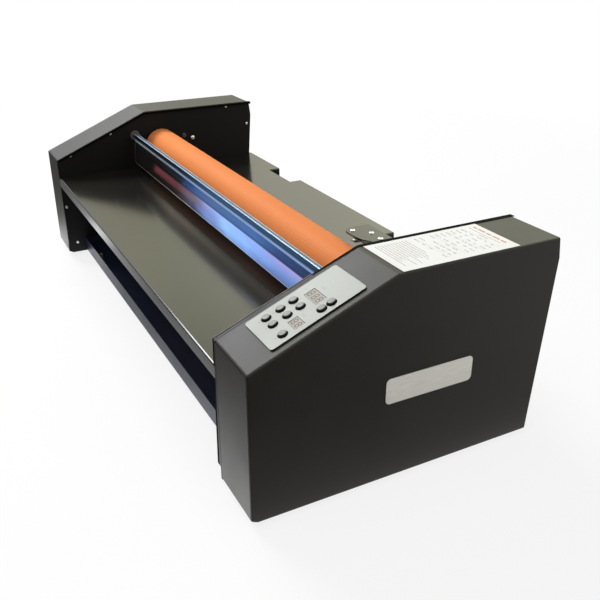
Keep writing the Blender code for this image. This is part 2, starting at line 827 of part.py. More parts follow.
def make_drive(lower_axis):
    """Motor pinion, gear motor and the hat-shaped bracket between them and the frame plate."""
    across = mesh_distance * cos(pinion_direction)
    rise = mesh_distance * sin(pinion_direction)
    axis = make_empty("pinion_axis", place(0, roller_depth + across, lower_axis_z + rise))
    gear_x = plate_outer + gear_offset - frame_plate
    tooth_gap = pinion_direction + pi + pi / pinion_teeth
    teeth = involute_gear_points(pinion_teeth, tooth_gap)
    pinion = as_mesh_object(flat_outline("pinion", [teeth], gear_width))
    shaft_start = gear_x - fit_gap
    bracket_x = plate_outer + motor_stand
    shaft_end = bracket_x + motor_sheet + motor_shaft_depth
    shaft = cylinder(motor_shaft_radius, shaft_end - shaft_start,
                     (0, 0, (shaft_start + shaft_end) / 2 - gear_x - gear_width / 2), small_steps)
    combine(pinion, [shaft], "UNION")
    finish(pinion, "motor_pinion", plated_steel)
    for item in (pinion, shaft):
        moved(item, (gear_x + gear_width / 2, 0, 0), face_right, axis)

    half = gearbox_radius + fit_gap + motor_sheet
    foot_x = plate_outer + fit_gap
    profile = [(-half - motor_foot, foot_x), (-half, foot_x), (-half, bracket_x), (half, bracket_x),
               (half, foot_x), (half + motor_foot, foot_x)]
    near = roller_gear_radius + gear_module + tooth_clearance - mesh_distance
    far = gearbox_radius
    bracket = bent_strip(profile, far - near, motor_sheet, motor_fold_radius)
    nose_hole = cylinder(motor_nose_radius, cutter_length, (0, 0, 0), small_steps)
    combine(bracket, [nose_hole], "DIFFERENCE")
    finish(bracket, "motor_bracket", plated_steel)
    turn = make_empty("motor_bracket_frame", (0, 0, 0), (pinion_direction, 0, 0))
    turn.parent = axis
    # local X runs across the legs, local Y outwards and local Z away from the roller gear
    stand = Matrix(((0, 1, 0), (0, 0, 1), (1, 0, 0))).to_euler()
    moved(bracket, (0, (near + far) / 2, 0), stand, turn)
    moved(nose_hole, (bracket_x, 0, 0), axis_right, turn)

    face_x = bracket_x + motor_sheet + fit_gap
    total = gearbox_length + motor_length
    bore = motor_shaft_radius + fit_gap
    profile = [(0, face_x + total), (motor_radius, face_x + total), (motor_radius, face_x + gearbox_length),
               (gearbox_radius, face_x + gearbox_length), (gearbox_radius, face_x), (bore, face_x),
               (bore, shaft_end + fit_gap * 2), (0, shaft_end + fit_gap * 2)]
    motor = turned(profile, round_steps)
    finish(motor, "gear_motor", plated_steel)
    moved(motor, (0, 0, 0), axis_right, axis)


def make_guard():
    """Clear sheet under an aluminium rail that swings up about its end pins."""
    axis = make_empty("guard_axis", place(0, guard_pivot_depth, guard_pivot_height), (-guard_lean, 0, 0))
    half = rail_depth / 2
    top, low = rail_above_pivot, -rail_below_pivot
    rebate_half = sheet_thickness / 2 + fit_gap
    sheet_middle = -half + rail_lip + rebate_half
    groove_half = rail_groove / 2
    groove_floor = top - rail_groove
    outline = [(half, low), (half, top - rail_edge), (half - rail_edge, top), (groove_half, top),
               (groove_half, groove_floor), (-groove_half, groove_floor), (-groove_half, top),
               (-half + rail_edge, top), (-half, top - rail_edge), (-half, low),
               (sheet_middle - rebate_half, low), (sheet_middle - rebate_half, low + sheet_rebate),
               (sheet_middle + rebate_half, low + sheet_rebate), (sheet_middle + rebate_half, low)]
    rail_length = 2 * (plate_inner - rail_end_gap)
    pin_hole = circle_points(guard_pin_radius + fit_gap, (0, 0), small_steps)
    rail = flat_outline("guard_rail", [outline, pin_hole], rail_length)
    finish(rail, "guard_rail", rail_blue)
    moved(rail, (0, 0, 0), face_right, axis)

    sheet_top = low + sheet_rebate - fit_gap
    sheet_low = (sheet_bottom_height - guard_pivot_height) / cos(guard_lean)
    sheet_height = sheet_top - sheet_low
    half_width = plate_inner - rail_end_gap - sheet_side_gap
    points = [(-half_width, sheet_height), (-half_width, sheet_corner)]
    for side in (-1, 1):
        for i in range(corner_steps + 1):
            turn = pi + pi / 2 * i / corner_steps if side < 0 else 3 * pi / 2 + pi / 2 * i / corner_steps
            centre_x = side * (half_width - sheet_corner)
            points.append((centre_x + sheet_corner * cos(turn), sheet_corner + sheet_corner * sin(turn)))
    points.append((half_width, sheet_height))
    points.pop(1)
    sheet = flat_outline("guard_sheet", [points], sheet_thickness)
    finish(sheet, "guard_sheet", guard_acrylic)
    moved(sheet, (0, sheet_middle, sheet_low), (pi / 2, 0, 0), axis)

    for name, side in (("left", -1), ("right", 1)):
        rotation = axis_right if side > 0 else axis_left
        pin_end = plate_outer + guard_bush_flange
        pin_start = plate_inner - rail_end_gap - guard_pin_depth
        pin = cylinder(guard_pin_radius, pin_end - pin_start, (0, 0, (pin_end + pin_start) / 2), small_steps)
        finish(smooth(pin), "guard_pin_" + name, plated_steel)
        moved(pin, (0, 0, 0), rotation, axis)
        flange_start = -guard_bush_flange - fit_gap
        bush_end = frame_plate + guard_bush_flange / 2
        bore = guard_pin_radius + fit_gap
        profile = [(bore, bush_end), (guard_bush_radius, bush_end), (guard_bush_radius, -fit_gap),
                   (guard_bush_flange_radius, -fit_gap),
                   (guard_bush_flange_radius, flange_start + fine_edge),
                   (guard_bush_flange_radius - fine_edge, flange_start), (bore, flange_start)]
        bush = turned(profile, small_steps, True)
        finish(bush, "guard_bush_" + name, bearing_plastic)
        moved(bush, place(side * plate_inner, guard_pivot_depth, guard_pivot_height), rotation)


def make_sensor():
    """Plate that reaches from the right frame plate over the right end of the upper roller."""
    width = plate_inner - fit_gap - sensor_plate_left
    length = sensor_plate_length
    radius = sensor_plate_corner
    outline = [(0, length)]
    for i in range(corner_steps + 1):
        turn = pi / 2 * i / corner_steps
        outline.append((radius - radius * cos(turn), radius - radius * sin(turn)))
    outline += [(width, 0), (width, length)]
    plate = folded_sheet(outline, sensor_plate_tab, lambda m: m.x > width - fit_gap,
                         sensor_plate_sheet, sensor_plate_fold)
    hole_centre = (sensor_x - sensor_plate_left, sensor_depth - sensor_plate_front)
    hole = cylinder(sensor_radius + fit_gap, cutter_length, (0, 0, 0), small_steps)
    combine(plate, [hole], "DIFFERENCE")
    finish(plate, "sensor_bracket", table_grey)
    moved(plate, place(sensor_plate_left, sensor_plate_front, sensor_plate_height))
    moved(hole, place(sensor_x, sensor_depth, sensor_plate_height))
    reach = sensor_depth - sensor_radius - roller_depth
    surface = upper_axis_z + sqrt(roller_radius ** 2 - reach ** 2)
    low = surface + lift_travel + sensor_head / 2
    above = sensor_plate_height + sensor_plate_sheet
    under = sensor_plate_height - sensor_plate_sheet - fit_gap
    profile = [(0, above), (sensor_radius, above), (sensor_radius, under), (sensor_head_radius, under),
               (sensor_head_radius, under - sensor_head), (sensor_radius, under - sensor_head),
               (sensor_radius, low), (0, low)]
    sensor = turned(profile, small_steps)
    finish(sensor, "temperature_sensor", bearing_plastic)
    moved(sensor, place(sensor_x, sensor_depth, 0))


def panel_place(share):
    """Local place on the slope, from shares of the panel's width and length."""
    return (-(panel_side + share[0] * panel_width), panel_rise + share[1] * panel_length)


def make_controls(cover):
    """Panel, buttons, displays and their board on the slope of the right housing."""
    slope = make_empty("panel_frame", place(side_plane, 0, front_height), (slope_angle, 0, 0))
    centre = panel_place((0.5, 0.5))
    outline = rounded_points(panel_width, panel_length, panel_corner)
    holes = []
    for share in button_place_shares.values():
        spot = panel_place(share)
        holes.append(circle_points(button_radius + button_clearance,
                                   (spot[0] - centre[0], spot[1] - centre[1]), small_steps))
    displays = (("temp_display", temp_display_share, temp_display_width, temp_display_length),
                ("speed_display", speed_display_share, speed_display_width, speed_display_length))
    for name, share, width, length in displays:
        spot = panel_place(share)
        holes.append(rectangle_points(width + 2 * window_gap, length + 2 * window_gap,
                                      (spot[0] - centre[0], spot[1] - centre[1])))
    panel = flat_outline("control_panel", [outline] + holes, panel_thickness)
    finish(panel, "control_panel", panel_silver)
    moved(panel, (centre[0], centre[1], fit_gap + panel_thickness / 2), (0, 0, 0), slope)

    cutout = box((cutout_width, cutout_length, cutter_length))
    moved(cutout, (centre[0], centre[1], 0), (0, 0, 0), slope)
    combine(cover, [cutout], "DIFFERENCE")

    panel_top = fit_gap + panel_thickness
    panel_under = fit_gap
    board_top = -board_depth
    switch_top = board_top + switch_height
    collar_top = panel_under - fit_gap
    button_low = switch_top + button_travel + fit_gap
    plunger_low = switch_top - button_travel
    crown = button_edge
    top = panel_top + button_height
    profile = [(0, top), (button_radius - crown, top - crown / 4),
               (button_radius, top - crown), (button_radius, collar_top), (button_collar_radius, collar_top),
               (button_collar_radius, collar_top - button_collar), (plunger_radius, button_low),
               (plunger_radius, plunger_low), (0, plunger_low)]
    for name, share in button_place_shares.items():
        spot = panel_place(share)
        cap = turned(profile, small_steps)
        finish(cap, name, button_grey)
        moved(cap, (spot[0], spot[1], 0), (0, 0, 0), slope)

    for name, share, width, length in displays:
        spot = panel_place(share)
        low = board_top + fit_gap
        high = panel_top - fit_gap
        block = box((width, length, high - low), (0, 0, (high + low) / 2))
        finish(block, name, display_dark)
        moved(block, (spot[0], spot[1], 0), (0, 0, 0), slope)

    board = box((board_width, board_length, board_thickness))
    board_centre = (centre[0], centre[1] + board_shift, board_top - board_thickness / 2)
    moved(board, board_centre, (0, 0, 0), slope)
    joined = []
    drilled = []
    for share in button_place_shares.values():
        spot = panel_place(share)
        body = box((switch_body, switch_body, switch_height + board_thickness / 2),
                   (0, 0, (switch_height - board_thickness / 2) / 2))
        moved(body, (spot[0], spot[1], board_top), (0, 0, 0), slope)
        joined.append(body)
        bore_depth = 2 * button_travel + 2 * fit_gap
        bore = cylinder(plunger_radius + fit_gap, bore_depth + cut_overrun,
                        (0, 0, (cut_overrun - bore_depth) / 2), tiny_steps)
        moved(bore, (spot[0], spot[1], switch_top), (0, 0, 0), slope)
        drilled.append(bore)
    post_top = panel_under - fit_gap
    post_length = post_top - board_top + board_thickness / 2
    for across in (-1, 1):
        for along in (-1, 1):
            post = cylinder(post_radius, post_length, (0, 0, post_top - post_length / 2), tiny_steps)
            x = board_centre[0] + across * (board_width / 2 - post_inset)
            y = board_centre[1] + along * (board_length / 2 - post_inset)
            moved(post, (x, y, 0), (0, 0, 0), slope)
            joined.append(post)
    combine(board, joined, "UNION")
    combine(board, drilled, "DIFFERENCE")
    finish(board, "control_board", board_green, slope)


def make_label_and_badge():
    label = box((label_width, label_length, label_thickness))
    finish(label, "settings_label", label_white)
    moved(label, place(side_plane - label_inset - label_width / 2, label_start_depth + label_length / 2,
                       housing_height + fit_gap + label_thickness / 2))
    badge = flat_outline("side_badge", [rounded_points(badge_length, badge_height, badge_corner)],
                         badge_thickness)
    finish(badge, "side_badge", badge_silver)
    moved(badge, place(side_plane + fit_gap + badge_thickness / 2, body_depth * badge_depth_share,
                       housing_height * badge_height_share),
          face_right)


def make_power_entry(cover):
    """Mains inlet and rocker switch on the rear face of the right housing."""
    rear = make_empty("rear_face_frame", place(side_plane, bottom_rear_depth, 0),
                      (pi / 2 + rear_lean, 0, pi))
    flange = as_mesh_object(flat_outline("inlet", [rounded_points(inlet_flange_width, inlet_flange_height,
                                                                  inlet_flange * 2)], inlet_flange))
    flange_z = fit_gap + inlet_flange / 2
    body = box((inlet_body_width, inlet_body_height, inlet_body_depth), (0, 0, -inlet_body_depth / 2))
    recess_low = fit_gap + inlet_flange - inlet_recess_depth
    recess = box((inlet_recess_width, inlet_recess_height, inlet_recess_depth + cut_overrun),
                 (0, 0, recess_low - flange_z + (inlet_recess_depth + cut_overrun) / 2))
    pins = []
    for offset, rise in ((-inlet_pin_spread, 0), (0, inlet_pin_width), (inlet_pin_spread, 0)):
        pins.append(box((inlet_pin_width, inlet_pin_height, inlet_pin_length + inlet_pin_width),
                        (offset, rise, recess_low - flange_z + (inlet_pin_length - inlet_pin_width) / 2)))
    combine(flange, [body], "UNION")
    combine(flange, [recess], "DIFFERENCE")
    combine(flange, pins, "UNION")
    finish(flange, "power_inlet", bearing_plastic)
    for item in [flange, body, recess] + pins:
        moved(item, (inlet_side, inlet_height, flange_z), (0, 0, 0), rear)
    inlet_hole = box((inlet_body_width + 2 * fit_gap, inlet_body_height + 2 * fit_gap, cutter_length))
    moved(inlet_hole, (inlet_side, inlet_height, 0), (0, 0, 0), rear)

    switch_centre = (inlet_side, inlet_height + switch_rise)
    flange_z = fit_gap + rocker_frame_flange / 2
    inner_width = rocker_width + 2 * fit_gap
    inner_length = rocker_length + 4 * fit_gap
    ring = as_mesh_object(flat_outline("switch", [rectangle_points(rocker_frame_width, rocker_frame_height)],
                                       rocker_frame_flange))
    body_width = inner_width + 2 * cover_sheet
    body_length = inner_length + 2 * cover_sheet
    body = box((body_width, body_length, rocker_frame_depth), (0, 0, -rocker_frame_depth / 2))
    well_depth = rocker_frame_depth - cover_sheet
    well = box((inner_width, inner_length, well_depth + cut_overrun), (0, 0, (cut_overrun - well_depth) / 2))
    combine(ring, [body], "UNION")
    combine(ring, [well], "DIFFERENCE")
    finish(ring, "switch_frame", bearing_plastic)
    for item in (ring, body, well):
        moved(item, (*switch_centre, flange_z), (0, 0, 0), rear)
    switch_hole = box((body_width + 2 * fit_gap, body_length + 2 * fit_gap, cutter_length))
    moved(switch_hole, (*switch_centre, 0), (0, 0, 0), rear)
    combine(cover, [inlet_hole, switch_hole], "DIFFERENCE")

    pivot = make_empty("rocker_axis", (*switch_centre, fit_gap + rocker_frame_flange / 2))
    pivot.parent = rear
    half = rocker_length / 2
    low = -rocker_crown * 2
    outline = [(-half, rocker_crown), (-half + fit_gap, low / 2), (-half / 2, low), (half / 2, low),
               (half - fit_gap, low / 2), (half, rocker_crown), (0, rocker_crown - rocker_dish)]
    rocker = flat_outline("power_switch", [outline], rocker_width)
    finish(rocker, "power_switch", bearing_plastic)
    tilt = make_empty("rocker_rest", (0, 0, 0), (-rocker_swing / 2, 0, 0))
    tilt.parent = pivot
    moved(rocker, (0, 0, 0), face_right, tilt)


def make_power_board():
    """Supply board on short posts, standing off the right frame plate."""
    x = plate_outer + fit_gap
    board_x = x + power_board_stand
    centre = place(0, power_board_depth, power_board_centre_height)
    frame = make_empty("power_board_frame", centre)
    board = box((power_board_thickness, power_board_width, power_board_height),
                (board_x + power_board_thickness / 2, 0, 0))
    parts = []
    top = board_x + power_board_thickness / 2
    for across in (-1, 1):
        for along in (-1, 1):
            length = power_board_stand + power_board_thickness / 2
            post = cylinder(post_radius, length, (0, 0, x + length / 2), tiny_steps)
            post_y = across * (power_board_width / 2 - power_post_inset)
            post_z = along * (power_board_height / 2 - power_post_inset)
            moved(post, (0, post_y, post_z), axis_right, frame)
            parts.append(post)
    transformer = box(transformer_size, (top + transformer_size[0] / 2, 0, 0))
    relay = box(relay_size, (top + relay_size[0] / 2, 0, 0))
    capacitor = cylinder(capacitor_radius, capacitor_height, (0, 0, top + capacitor_height / 2), small_steps)
    fitted = ((transformer, transformer_shares, (0, 0, 0)), (relay, relay_shares, (0, 0, 0)),
              (capacitor, capacitor_shares, axis_right))
    for item, shares, rotation in fitted:
        moved(item, (0, power_board_width * shares[0], power_board_height * shares[1]), rotation, frame)
        parts.append(item)
    combine(board, parts, "UNION")
    finish(board, "power_board", board_green, frame)


def make_heater(axis):
    left_end = -plate_inner - block_reach - cap_thickness + fit_gap
    right_end = plate_inner + journal_right_reach + heater_overhang
    rod = cylinder(heater_radius, right_end - left_end, (0, 0, (left_end + right_end) / 2), small_steps)
    finish(smooth(rod), "heater_tube", quartz_white)
    moved(rod, (0, 0, 0), axis_right, axis)


make_cover("left_cover", -1)
right_cover = make_cover("right_cover", 1)
make_frame_plate("left_frame_plate", -1)
make_frame_plate("right_frame_plate", 1)
make_tables()
make_feet()
upper_axis = make_empty("upper_roller_axis", place(0, roller_depth, upper_axis_z))
lower_axis = make_empty("lower_roller_axis", place(0, roller_depth, lower_axis_z))
make_roller("upper", upper_axis, journal_right_reach)
make_roller("lower", lower_axis, journal_right_reach)
make_roller_gear("lower_gear", lower_axis, pi / 2)
make_roller_gear("upper_gear", upper_axis, -pi / 2 + pi / roller_gear_teeth)
make_bearing_block("upper_bearing_block_left", -1, upper_axis)
make_bearing_block("upper_bearing_block_right", 1, upper_axis)
make_heater(upper_axis)
for side_name, side_sign in (("left", -1), ("right", 1)):
    make_pressure_spring("pressure_spring_" + side_name, side_sign)
    make_spring_bracket("spring_bracket_" + side_name, side_sign)
    make_lower_bearing("lower_bearing_" + side_name, side_sign)
make_drive(lower_axis)
make_guard()
make_sensor()
make_controls(right_cover)
make_label_and_badge()
make_power_entry(right_cover)
make_power_board()
bpy.context.view_layer.update()
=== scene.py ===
# Wide tabletop roll laminator on a white studio floor.
# Metres, +X to the operator's right, +Y to the back, +Z up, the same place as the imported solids.
import random
from math import atan2, cos, pi, radians, sin

import bmesh
import bpy
from mathutils import Matrix, Vector


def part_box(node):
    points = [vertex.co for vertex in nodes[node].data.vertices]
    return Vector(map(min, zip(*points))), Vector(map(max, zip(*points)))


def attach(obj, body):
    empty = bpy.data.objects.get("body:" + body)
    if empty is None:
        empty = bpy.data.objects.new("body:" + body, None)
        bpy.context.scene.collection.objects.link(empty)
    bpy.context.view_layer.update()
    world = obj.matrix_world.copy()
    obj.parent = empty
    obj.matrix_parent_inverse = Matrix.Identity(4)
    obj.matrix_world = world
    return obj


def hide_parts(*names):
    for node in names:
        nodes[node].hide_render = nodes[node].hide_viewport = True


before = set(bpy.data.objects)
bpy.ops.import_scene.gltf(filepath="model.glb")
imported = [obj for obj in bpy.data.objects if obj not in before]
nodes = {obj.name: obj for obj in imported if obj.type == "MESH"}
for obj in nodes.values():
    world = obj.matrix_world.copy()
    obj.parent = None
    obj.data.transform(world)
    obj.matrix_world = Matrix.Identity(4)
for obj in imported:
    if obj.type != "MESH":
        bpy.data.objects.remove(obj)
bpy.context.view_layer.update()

scene = bpy.context.scene
print("solids loaded:", len(nodes))


# camera at the photograph's angle
cameraLook = {
    "place": (1.1109, -0.4682, 0.6106),
    "turn": (64.19, 0.0, 62.32),      # degrees
    "lens": 45.75,
    "sensor": 36.0,
    "reach": 200,
}


def addObject(name, data):
    piece = bpy.data.objects.new(name, data)
    scene.collection.objects.link(piece)
    return piece


def setCamera(look):
    data = bpy.data.cameras.new("shot")
    data.lens = look["lens"]
    data.sensor_width = look["sensor"]
    data.clip_end = look["reach"]
    camera = addObject("shot", data)
    camera.location = look["place"]
    camera.rotation_euler = [radians(a) for a in look["turn"]]
    scene.camera = camera


setCamera(cameraLook)
print("camera set")


# helpers for node trees
def join(tree, value, socket):
    # a number or a tone is set on the socket, another node's output is linked to it
    if isinstance(value, (int, float)):
        socket.default_value = value
    elif isinstance(value, tuple):
        socket.default_value = value + (1,) * (len(socket.default_value) - len(value))
    else:
        tree.links.new(value, socket)


def fill(tree, node, inputs):
    for socket, value in inputs.items():
        join(tree, value, node.inputs[socket])
    return node


def addNode(tree, kind, inputs, **settings):
    node = tree.nodes.new(kind)
    for setting, value in settings.items():
        setattr(node, setting, value)
    return fill(tree, node, inputs)


def newMaterial(name, sockets):
    material = bpy.data.materials.new(name)
    material.use_nodes = True
    tree = material.node_tree
    return material, tree, fill(tree, tree.nodes["Principled BSDF"], sockets)


def emptyTree(owner):
    owner.use_nodes = True
    owner.node_tree.nodes.clear()
    return owner.node_tree


def objectPlace(tree, stretch=(1, 1, 1)):
    place = addNode(tree, "ShaderNodeTexCoord", {}).outputs["Object"]
    return addNode(tree, "ShaderNodeMapping", {"Vector": place, "Scale": stretch}).outputs["Vector"]


def axes(tree):
    return addNode(tree, "ShaderNodeSeparateXYZ", {"Vector": objectPlace(tree)}).outputs


def noiseField(tree, scale, detail=3.0, stretch=(1, 1, 1)):
    inputs = {"Scale": scale, "Detail": detail, "Vector": objectPlace(tree, stretch)}
    return addNode(tree, "ShaderNodeTexNoise", inputs).outputs["Fac"]


def mathNode(tree, kind, *values):
    return addNode(tree, "ShaderNodeMath", dict(enumerate(values)), operation=kind).outputs[0]


def spreadTo(tree, value, low, high, fromLow=0.3, fromHigh=0.7):
    inputs = {"Value": value, "From Min": fromLow, "From Max": fromHigh, "To Min": low, "To Max": high}
    return addNode(tree, "ShaderNodeMapRange", inputs).outputs["Result"]


def share(tree, value, fromLow, fromHigh):
    return spreadTo(tree, value, 0, 1, fromLow, fromHigh)


def colourRamp(tree, value, stops, scale=1.0):
    # a stop is (place, tone), and a tone is a colour or one number for a grey
    ramp = addNode(tree, "ShaderNodeValToRGB", {"Fac": value})
    elements = ramp.color_ramp.elements
    while len(elements) < len(stops):
        elements.new(0.5)
    for element, (spot, tone) in zip(elements, stops):
        tone = tone if isinstance(tone, tuple) else (tone,) * 3
        element.position = spot
        element.color = (*(scale * v for v in tone), 1)
    return ramp.outputs["Color"]


def mixColours(tree, part, first, second, kind="MIX"):
    mix = addNode(tree, "ShaderNodeMix", {}, data_type="RGBA", blend_type=kind)
    sockets = [s for s in mix.inputs if s.enabled]
    for value, socket in zip((part, first, second), sockets):
        join(tree, value, socket)
    return [s for s in mix.outputs if s.enabled][0]


def times(tree, first, second):
    return mixColours(tree, 1.0, first, second, "MULTIPLY")


def mixShaders(tree, part, first, second):
    return addNode(tree, "ShaderNodeMixShader", {0: part, 1: first, 2: second}).outputs[0]


def glowing(tree, colour, strength, kind="ShaderNodeEmission"):
    return addNode(tree, kind, {"Color": colour, "Strength": strength}).outputs[0]


def rayKinds(tree):
    # rays that the camera sees, also through clear plastic, and mirrored rays
    path = addNode(tree, "ShaderNodeLightPath", {}).outputs
    seen = mathNode(tree, "MAXIMUM", path["Is Camera Ray"], path["Is Transmission Ray"])
    return seen, path["Is Glossy Ray"]


def addBump(tree, shader, height, distance, strength):
    bump = addNode(tree, "ShaderNodeBump", {"Distance": distance, "Strength": strength, "Height": height})
    fill(tree, shader, {"Normal": bump.outputs["Normal"]})


# how every speckled finish uses its two noises
speckleLook = {"patchDetail": 4.0, "grainDetail": 2.0, "patchStops": (0.3, 0.7), "fleckStops": (0.4, 0.62)}


def finish(name, look):
    # broad patches between two tones, a fine grain over them, also as relief; with "facing" only faces
    # that look that way have the patches, and the rest has its own tone, or tones along X: painted light and
    # shade by facing
    material, tree, shader = newMaterial(name, look["sockets"])
    stretch = look.get("stretch", (1, 1, 1))
    patch, grain = [noiseField(tree, scale, speckleLook[detail], stretch)
                    for scale, detail in zip(look["scales"], ("patchDetail", "grainDetail"))]
    colour = colourRamp(tree, patch, list(zip(speckleLook["patchStops"], look["tones"])))
    if "facing" in look:
        normal = addNode(tree, "ShaderNodeTexCoord", {}).outputs["Normal"]
        meet = addNode(tree, "ShaderNodeVectorMath", {0: normal, 1: look["facing"]},
                       operation="DOT_PRODUCT")
        rest = look["rest"]
        if "restSpan" in look:
            rest = colourRamp(tree, share(tree, axes(tree)["X"], *look["restSpan"]), rest)
        colour = mixColours(tree, share(tree, meet.outputs["Value"], *look["facingSpan"]), rest, colour)
    fleck = colourRamp(tree, grain, list(zip(speckleLook["fleckStops"], (1 - look["fleck"], 1.0))))
    fill(tree, shader, {"Base Color": times(tree, colour, fleck),
                        "Roughness": spreadTo(tree, patch, *look["roughness"])})
    addBump(tree, shader, grain, *look["relief"])
    return material


# in each look "scales" are those of patches and grain, and "relief" is the grain's depth and strength
shine = "Specular IOR Level"
slopeUp = (0.0, -0.388, 0.922)

# powder coat on the covers, the frame plates and the tray
coatLook = {"scales": (9, 1500), "fleck": 0.22, "roughness": (0.44, 0.52), "relief": (0.00012, 0.35)}
powderBlack = finish("powderBlack", {
    **coatLook, "sockets": {shine: 0.255, "IOR": 1.46},
    "tones": ((0.0112, 0.0092, 0.0074), (0.0155, 0.013, 0.0106))})
plateBlack = finish("plateBlack", {
    **coatLook, "sockets": {shine: 0.16, "IOR": 1.46},
    "tones": ((0.0045, 0.0042, 0.004), (0.0066, 0.0062, 0.0058)),
    "scales": (8, 1500), "roughness": (0.46, 0.54)})
trayBlack = finish("trayBlack", {
    **coatLook, "sockets": {shine: 0.22, "IOR": 1.46},
    "tones": ((0.01, 0.014, 0.033), (0.0134, 0.018, 0.039))})

# smoother black enamel on the tables, which shows mostly what it mirrors
tableGrey = finish("tableGrey", {
    "sockets": {shine: 0.42, "IOR": 1.46}, "tones": ((0.0085, 0.008, 0.0064), (0.0115, 0.0108, 0.0088)),
    "scales": (5, 1100), "fleck": 0.12, "roughness": (0.13, 0.17), "relief": (0.00005, 0.08)})
bracketGrey = finish("bracketGrey", {
    "sockets": {shine: 0.27, "IOR": 1.46}, "tones": ((0.0085, 0.008, 0.0064), (0.0125, 0.0118, 0.0096)),
    "scales": (60, 1100), "fleck": 0.14, "roughness": (0.15, 0.22), "relief": (0.00005, 0.1)})

# rollers, gears and bearings
siliconeOrange = finish("siliconeOrange", {
    "sockets": {shine: 0.03, "IOR": 1.42}, "stretch": (0.35, 1, 1),
    "tones": ((0.735, 0.228, 0.071), (0.775, 0.254, 0.082)),
    "scales": (14, 900), "fleck": 0.05, "roughness": (0.4, 0.5), "relief": (0.00008, 0.15)})
bareAluminium = finish("bareAluminium", {
    "sockets": {"Metallic": 1.0}, "stretch": (6, 1, 1), "tones": ((0.5, 0.51, 0.51), (0.64, 0.65, 0.65)),
    "scales": (60, 600), "fleck": 0.15, "roughness": (0.3, 0.42), "relief": (0.00004, 0.3)})
platedSteel = finish("platedSteel", {
    "sockets": {"Metallic": 1.0}, "tones": ((0.58, 0.57, 0.53), (0.74, 0.73, 0.7)),
    "scales": (90, 900), "fleck": 0.12, "roughness": (0.24, 0.38), "relief": (0.00004, 0.25)})
gearNylon = finish("gearNylon", {
    "sockets": {shine: 0.4}, "tones": ((0.7, 0.68, 0.6), (0.8, 0.78, 0.71)),
    "scales": (40, 700), "fleck": 0.06, "roughness": (0.42, 0.52), "relief": (0.00005, 0.2)})
bearingPlastic = finish("bearingPlastic", {
    "sockets": {shine: 0.4}, "tones": ((0.016, 0.015, 0.015), (0.028, 0.026, 0.025)),
    "scales": (50, 800), "fleck": 0.15, "roughness": (0.42, 0.52), "relief": (0.00006, 0.25)})
bushBrown = finish("bushBrown", {
    "sockets": {shine: 0.45}, "tones": ((0.06, 0.045, 0.04), (0.105, 0.082, 0.073)),
    "scales": (120, 1200), "fleck": 0.2, "roughness": (0.35, 0.48), "relief": (0.00005, 0.25)})

# anodised rail, paler on top as a painted sky reflection; its front, painted shade and reflection, goes from
# black at the left to navy
railBlue = finish("railBlue", {
    "sockets": {"Metallic": 0.25, shine: 0.35}, "stretch": (0.05, 1, 1),
    "facing": (0.0, 0.0, 1.0), "facingSpan": (0.45, 0.85),
    "tones": ((0.07, 0.125, 0.185), (0.12, 0.18, 0.25)),
    "restSpan": (-0.4, 0.4),
    "rest": [(0.0, (0.005, 0.005, 0.006)), (0.22, (0.007, 0.012, 0.015)), (0.36, (0.011, 0.028, 0.058)),
             (0.52, (0.042, 0.13, 0.27)), (0.74, (0.04, 0.126, 0.28)), (1.0, (0.028, 0.08, 0.18))],
    "scales": (7, 500), "fleck": 0.14, "roughness": (0.3, 0.4), "relief": (0.00004, 0.3),
})

# keypad panel, keys and displays
# painted shade: every face of the panel but its top is near black, as the shadow line along its sides
panelSilver = finish("panelSilver", {
    "sockets": {shine: 0.22}, "facing": slopeUp, "facingSpan": (0.75, 0.95), "rest": (0.006, 0.006, 0.005),
    "tones": ((0.35, 0.365, 0.332), (0.394, 0.409, 0.374)),
    "scales": (22, 2200), "fleck": 0.06, "roughness": (0.4, 0.5), "relief": (0.00004, 0.2)})
# painted light and shade on the keys: lit tones on faces turned up the slope and towards the light, near
# black on their sides and rims
buttonGrey = finish("buttonGrey", {
    "sockets": {shine: 0.25},
    "facing": (-0.2988, -0.0761, 0.9515), "facingSpan": (0.6, 0.89), "rest": (0.012, 0.012, 0.011),
    "tones": ((0.11, 0.113, 0.104), (0.27, 0.277, 0.257)),
    "scales": (90, 1600), "fleck": 0.12, "roughness": (0.38, 0.5), "relief": (0.00005, 0.3)})
displayFace = finish("displayFace", {
    "sockets": {shine: 0.12}, "tones": ((0.36, 0.335, 0.3), (0.43, 0.405, 0.36)),
    "scales": (120, 1800), "fleck": 0.08, "roughness": (0.45, 0.55), "relief": (0.00002, 0.15)})
digitBrown = finish("digitBrown", {
    "sockets": {shine: 0.12}, "tones": ((0.095, 0.074, 0.066), (0.145, 0.116, 0.104)),
    "scales": (200, 1800), "fleck": 0.1, "roughness": (0.45, 0.55), "relief": (0.00002, 0.1)})

# circuit boards, label, side plate, feet and heater
boardGreen = finish("boardGreen", {
    "sockets": {shine: 0.5}, "tones": ((0.012, 0.11, 0.045), (0.022, 0.16, 0.07)),
    "scales": (80, 700), "fleck": 0.25, "roughness": (0.32, 0.45), "relief": (0.00006, 0.3)})
labelPaper = finish("labelPaper", {
    "sockets": {shine: 0.2}, "tones": ((0.745, 0.745, 0.73), (0.79, 0.79, 0.775)),
    "scales": (26, 2500), "fleck": 0.03, "roughness": (0.36, 0.46), "relief": (0.00003, 0.15)})
badgeMetal = finish("badgeMetal", {
    "sockets": {"Metallic": 0.2, shine: 0.5}, "stretch": (1, 0.05, 1),
    "tones": ((0.58, 0.57, 0.52), (0.69, 0.68, 0.62)),
    "scales": (12, 900), "fleck": 0.1, "roughness": (0.34, 0.46), "relief": (0.00003, 0.3)})
rubberBlack = finish("rubberBlack", {
    "sockets": {shine: 0.3}, "tones": ((0.01, 0.01, 0.01), (0.017, 0.017, 0.016)),
    "scales": (70, 900), "fleck": 0.25, "roughness": (0.72, 0.86), "relief": (0.00012, 0.5)})
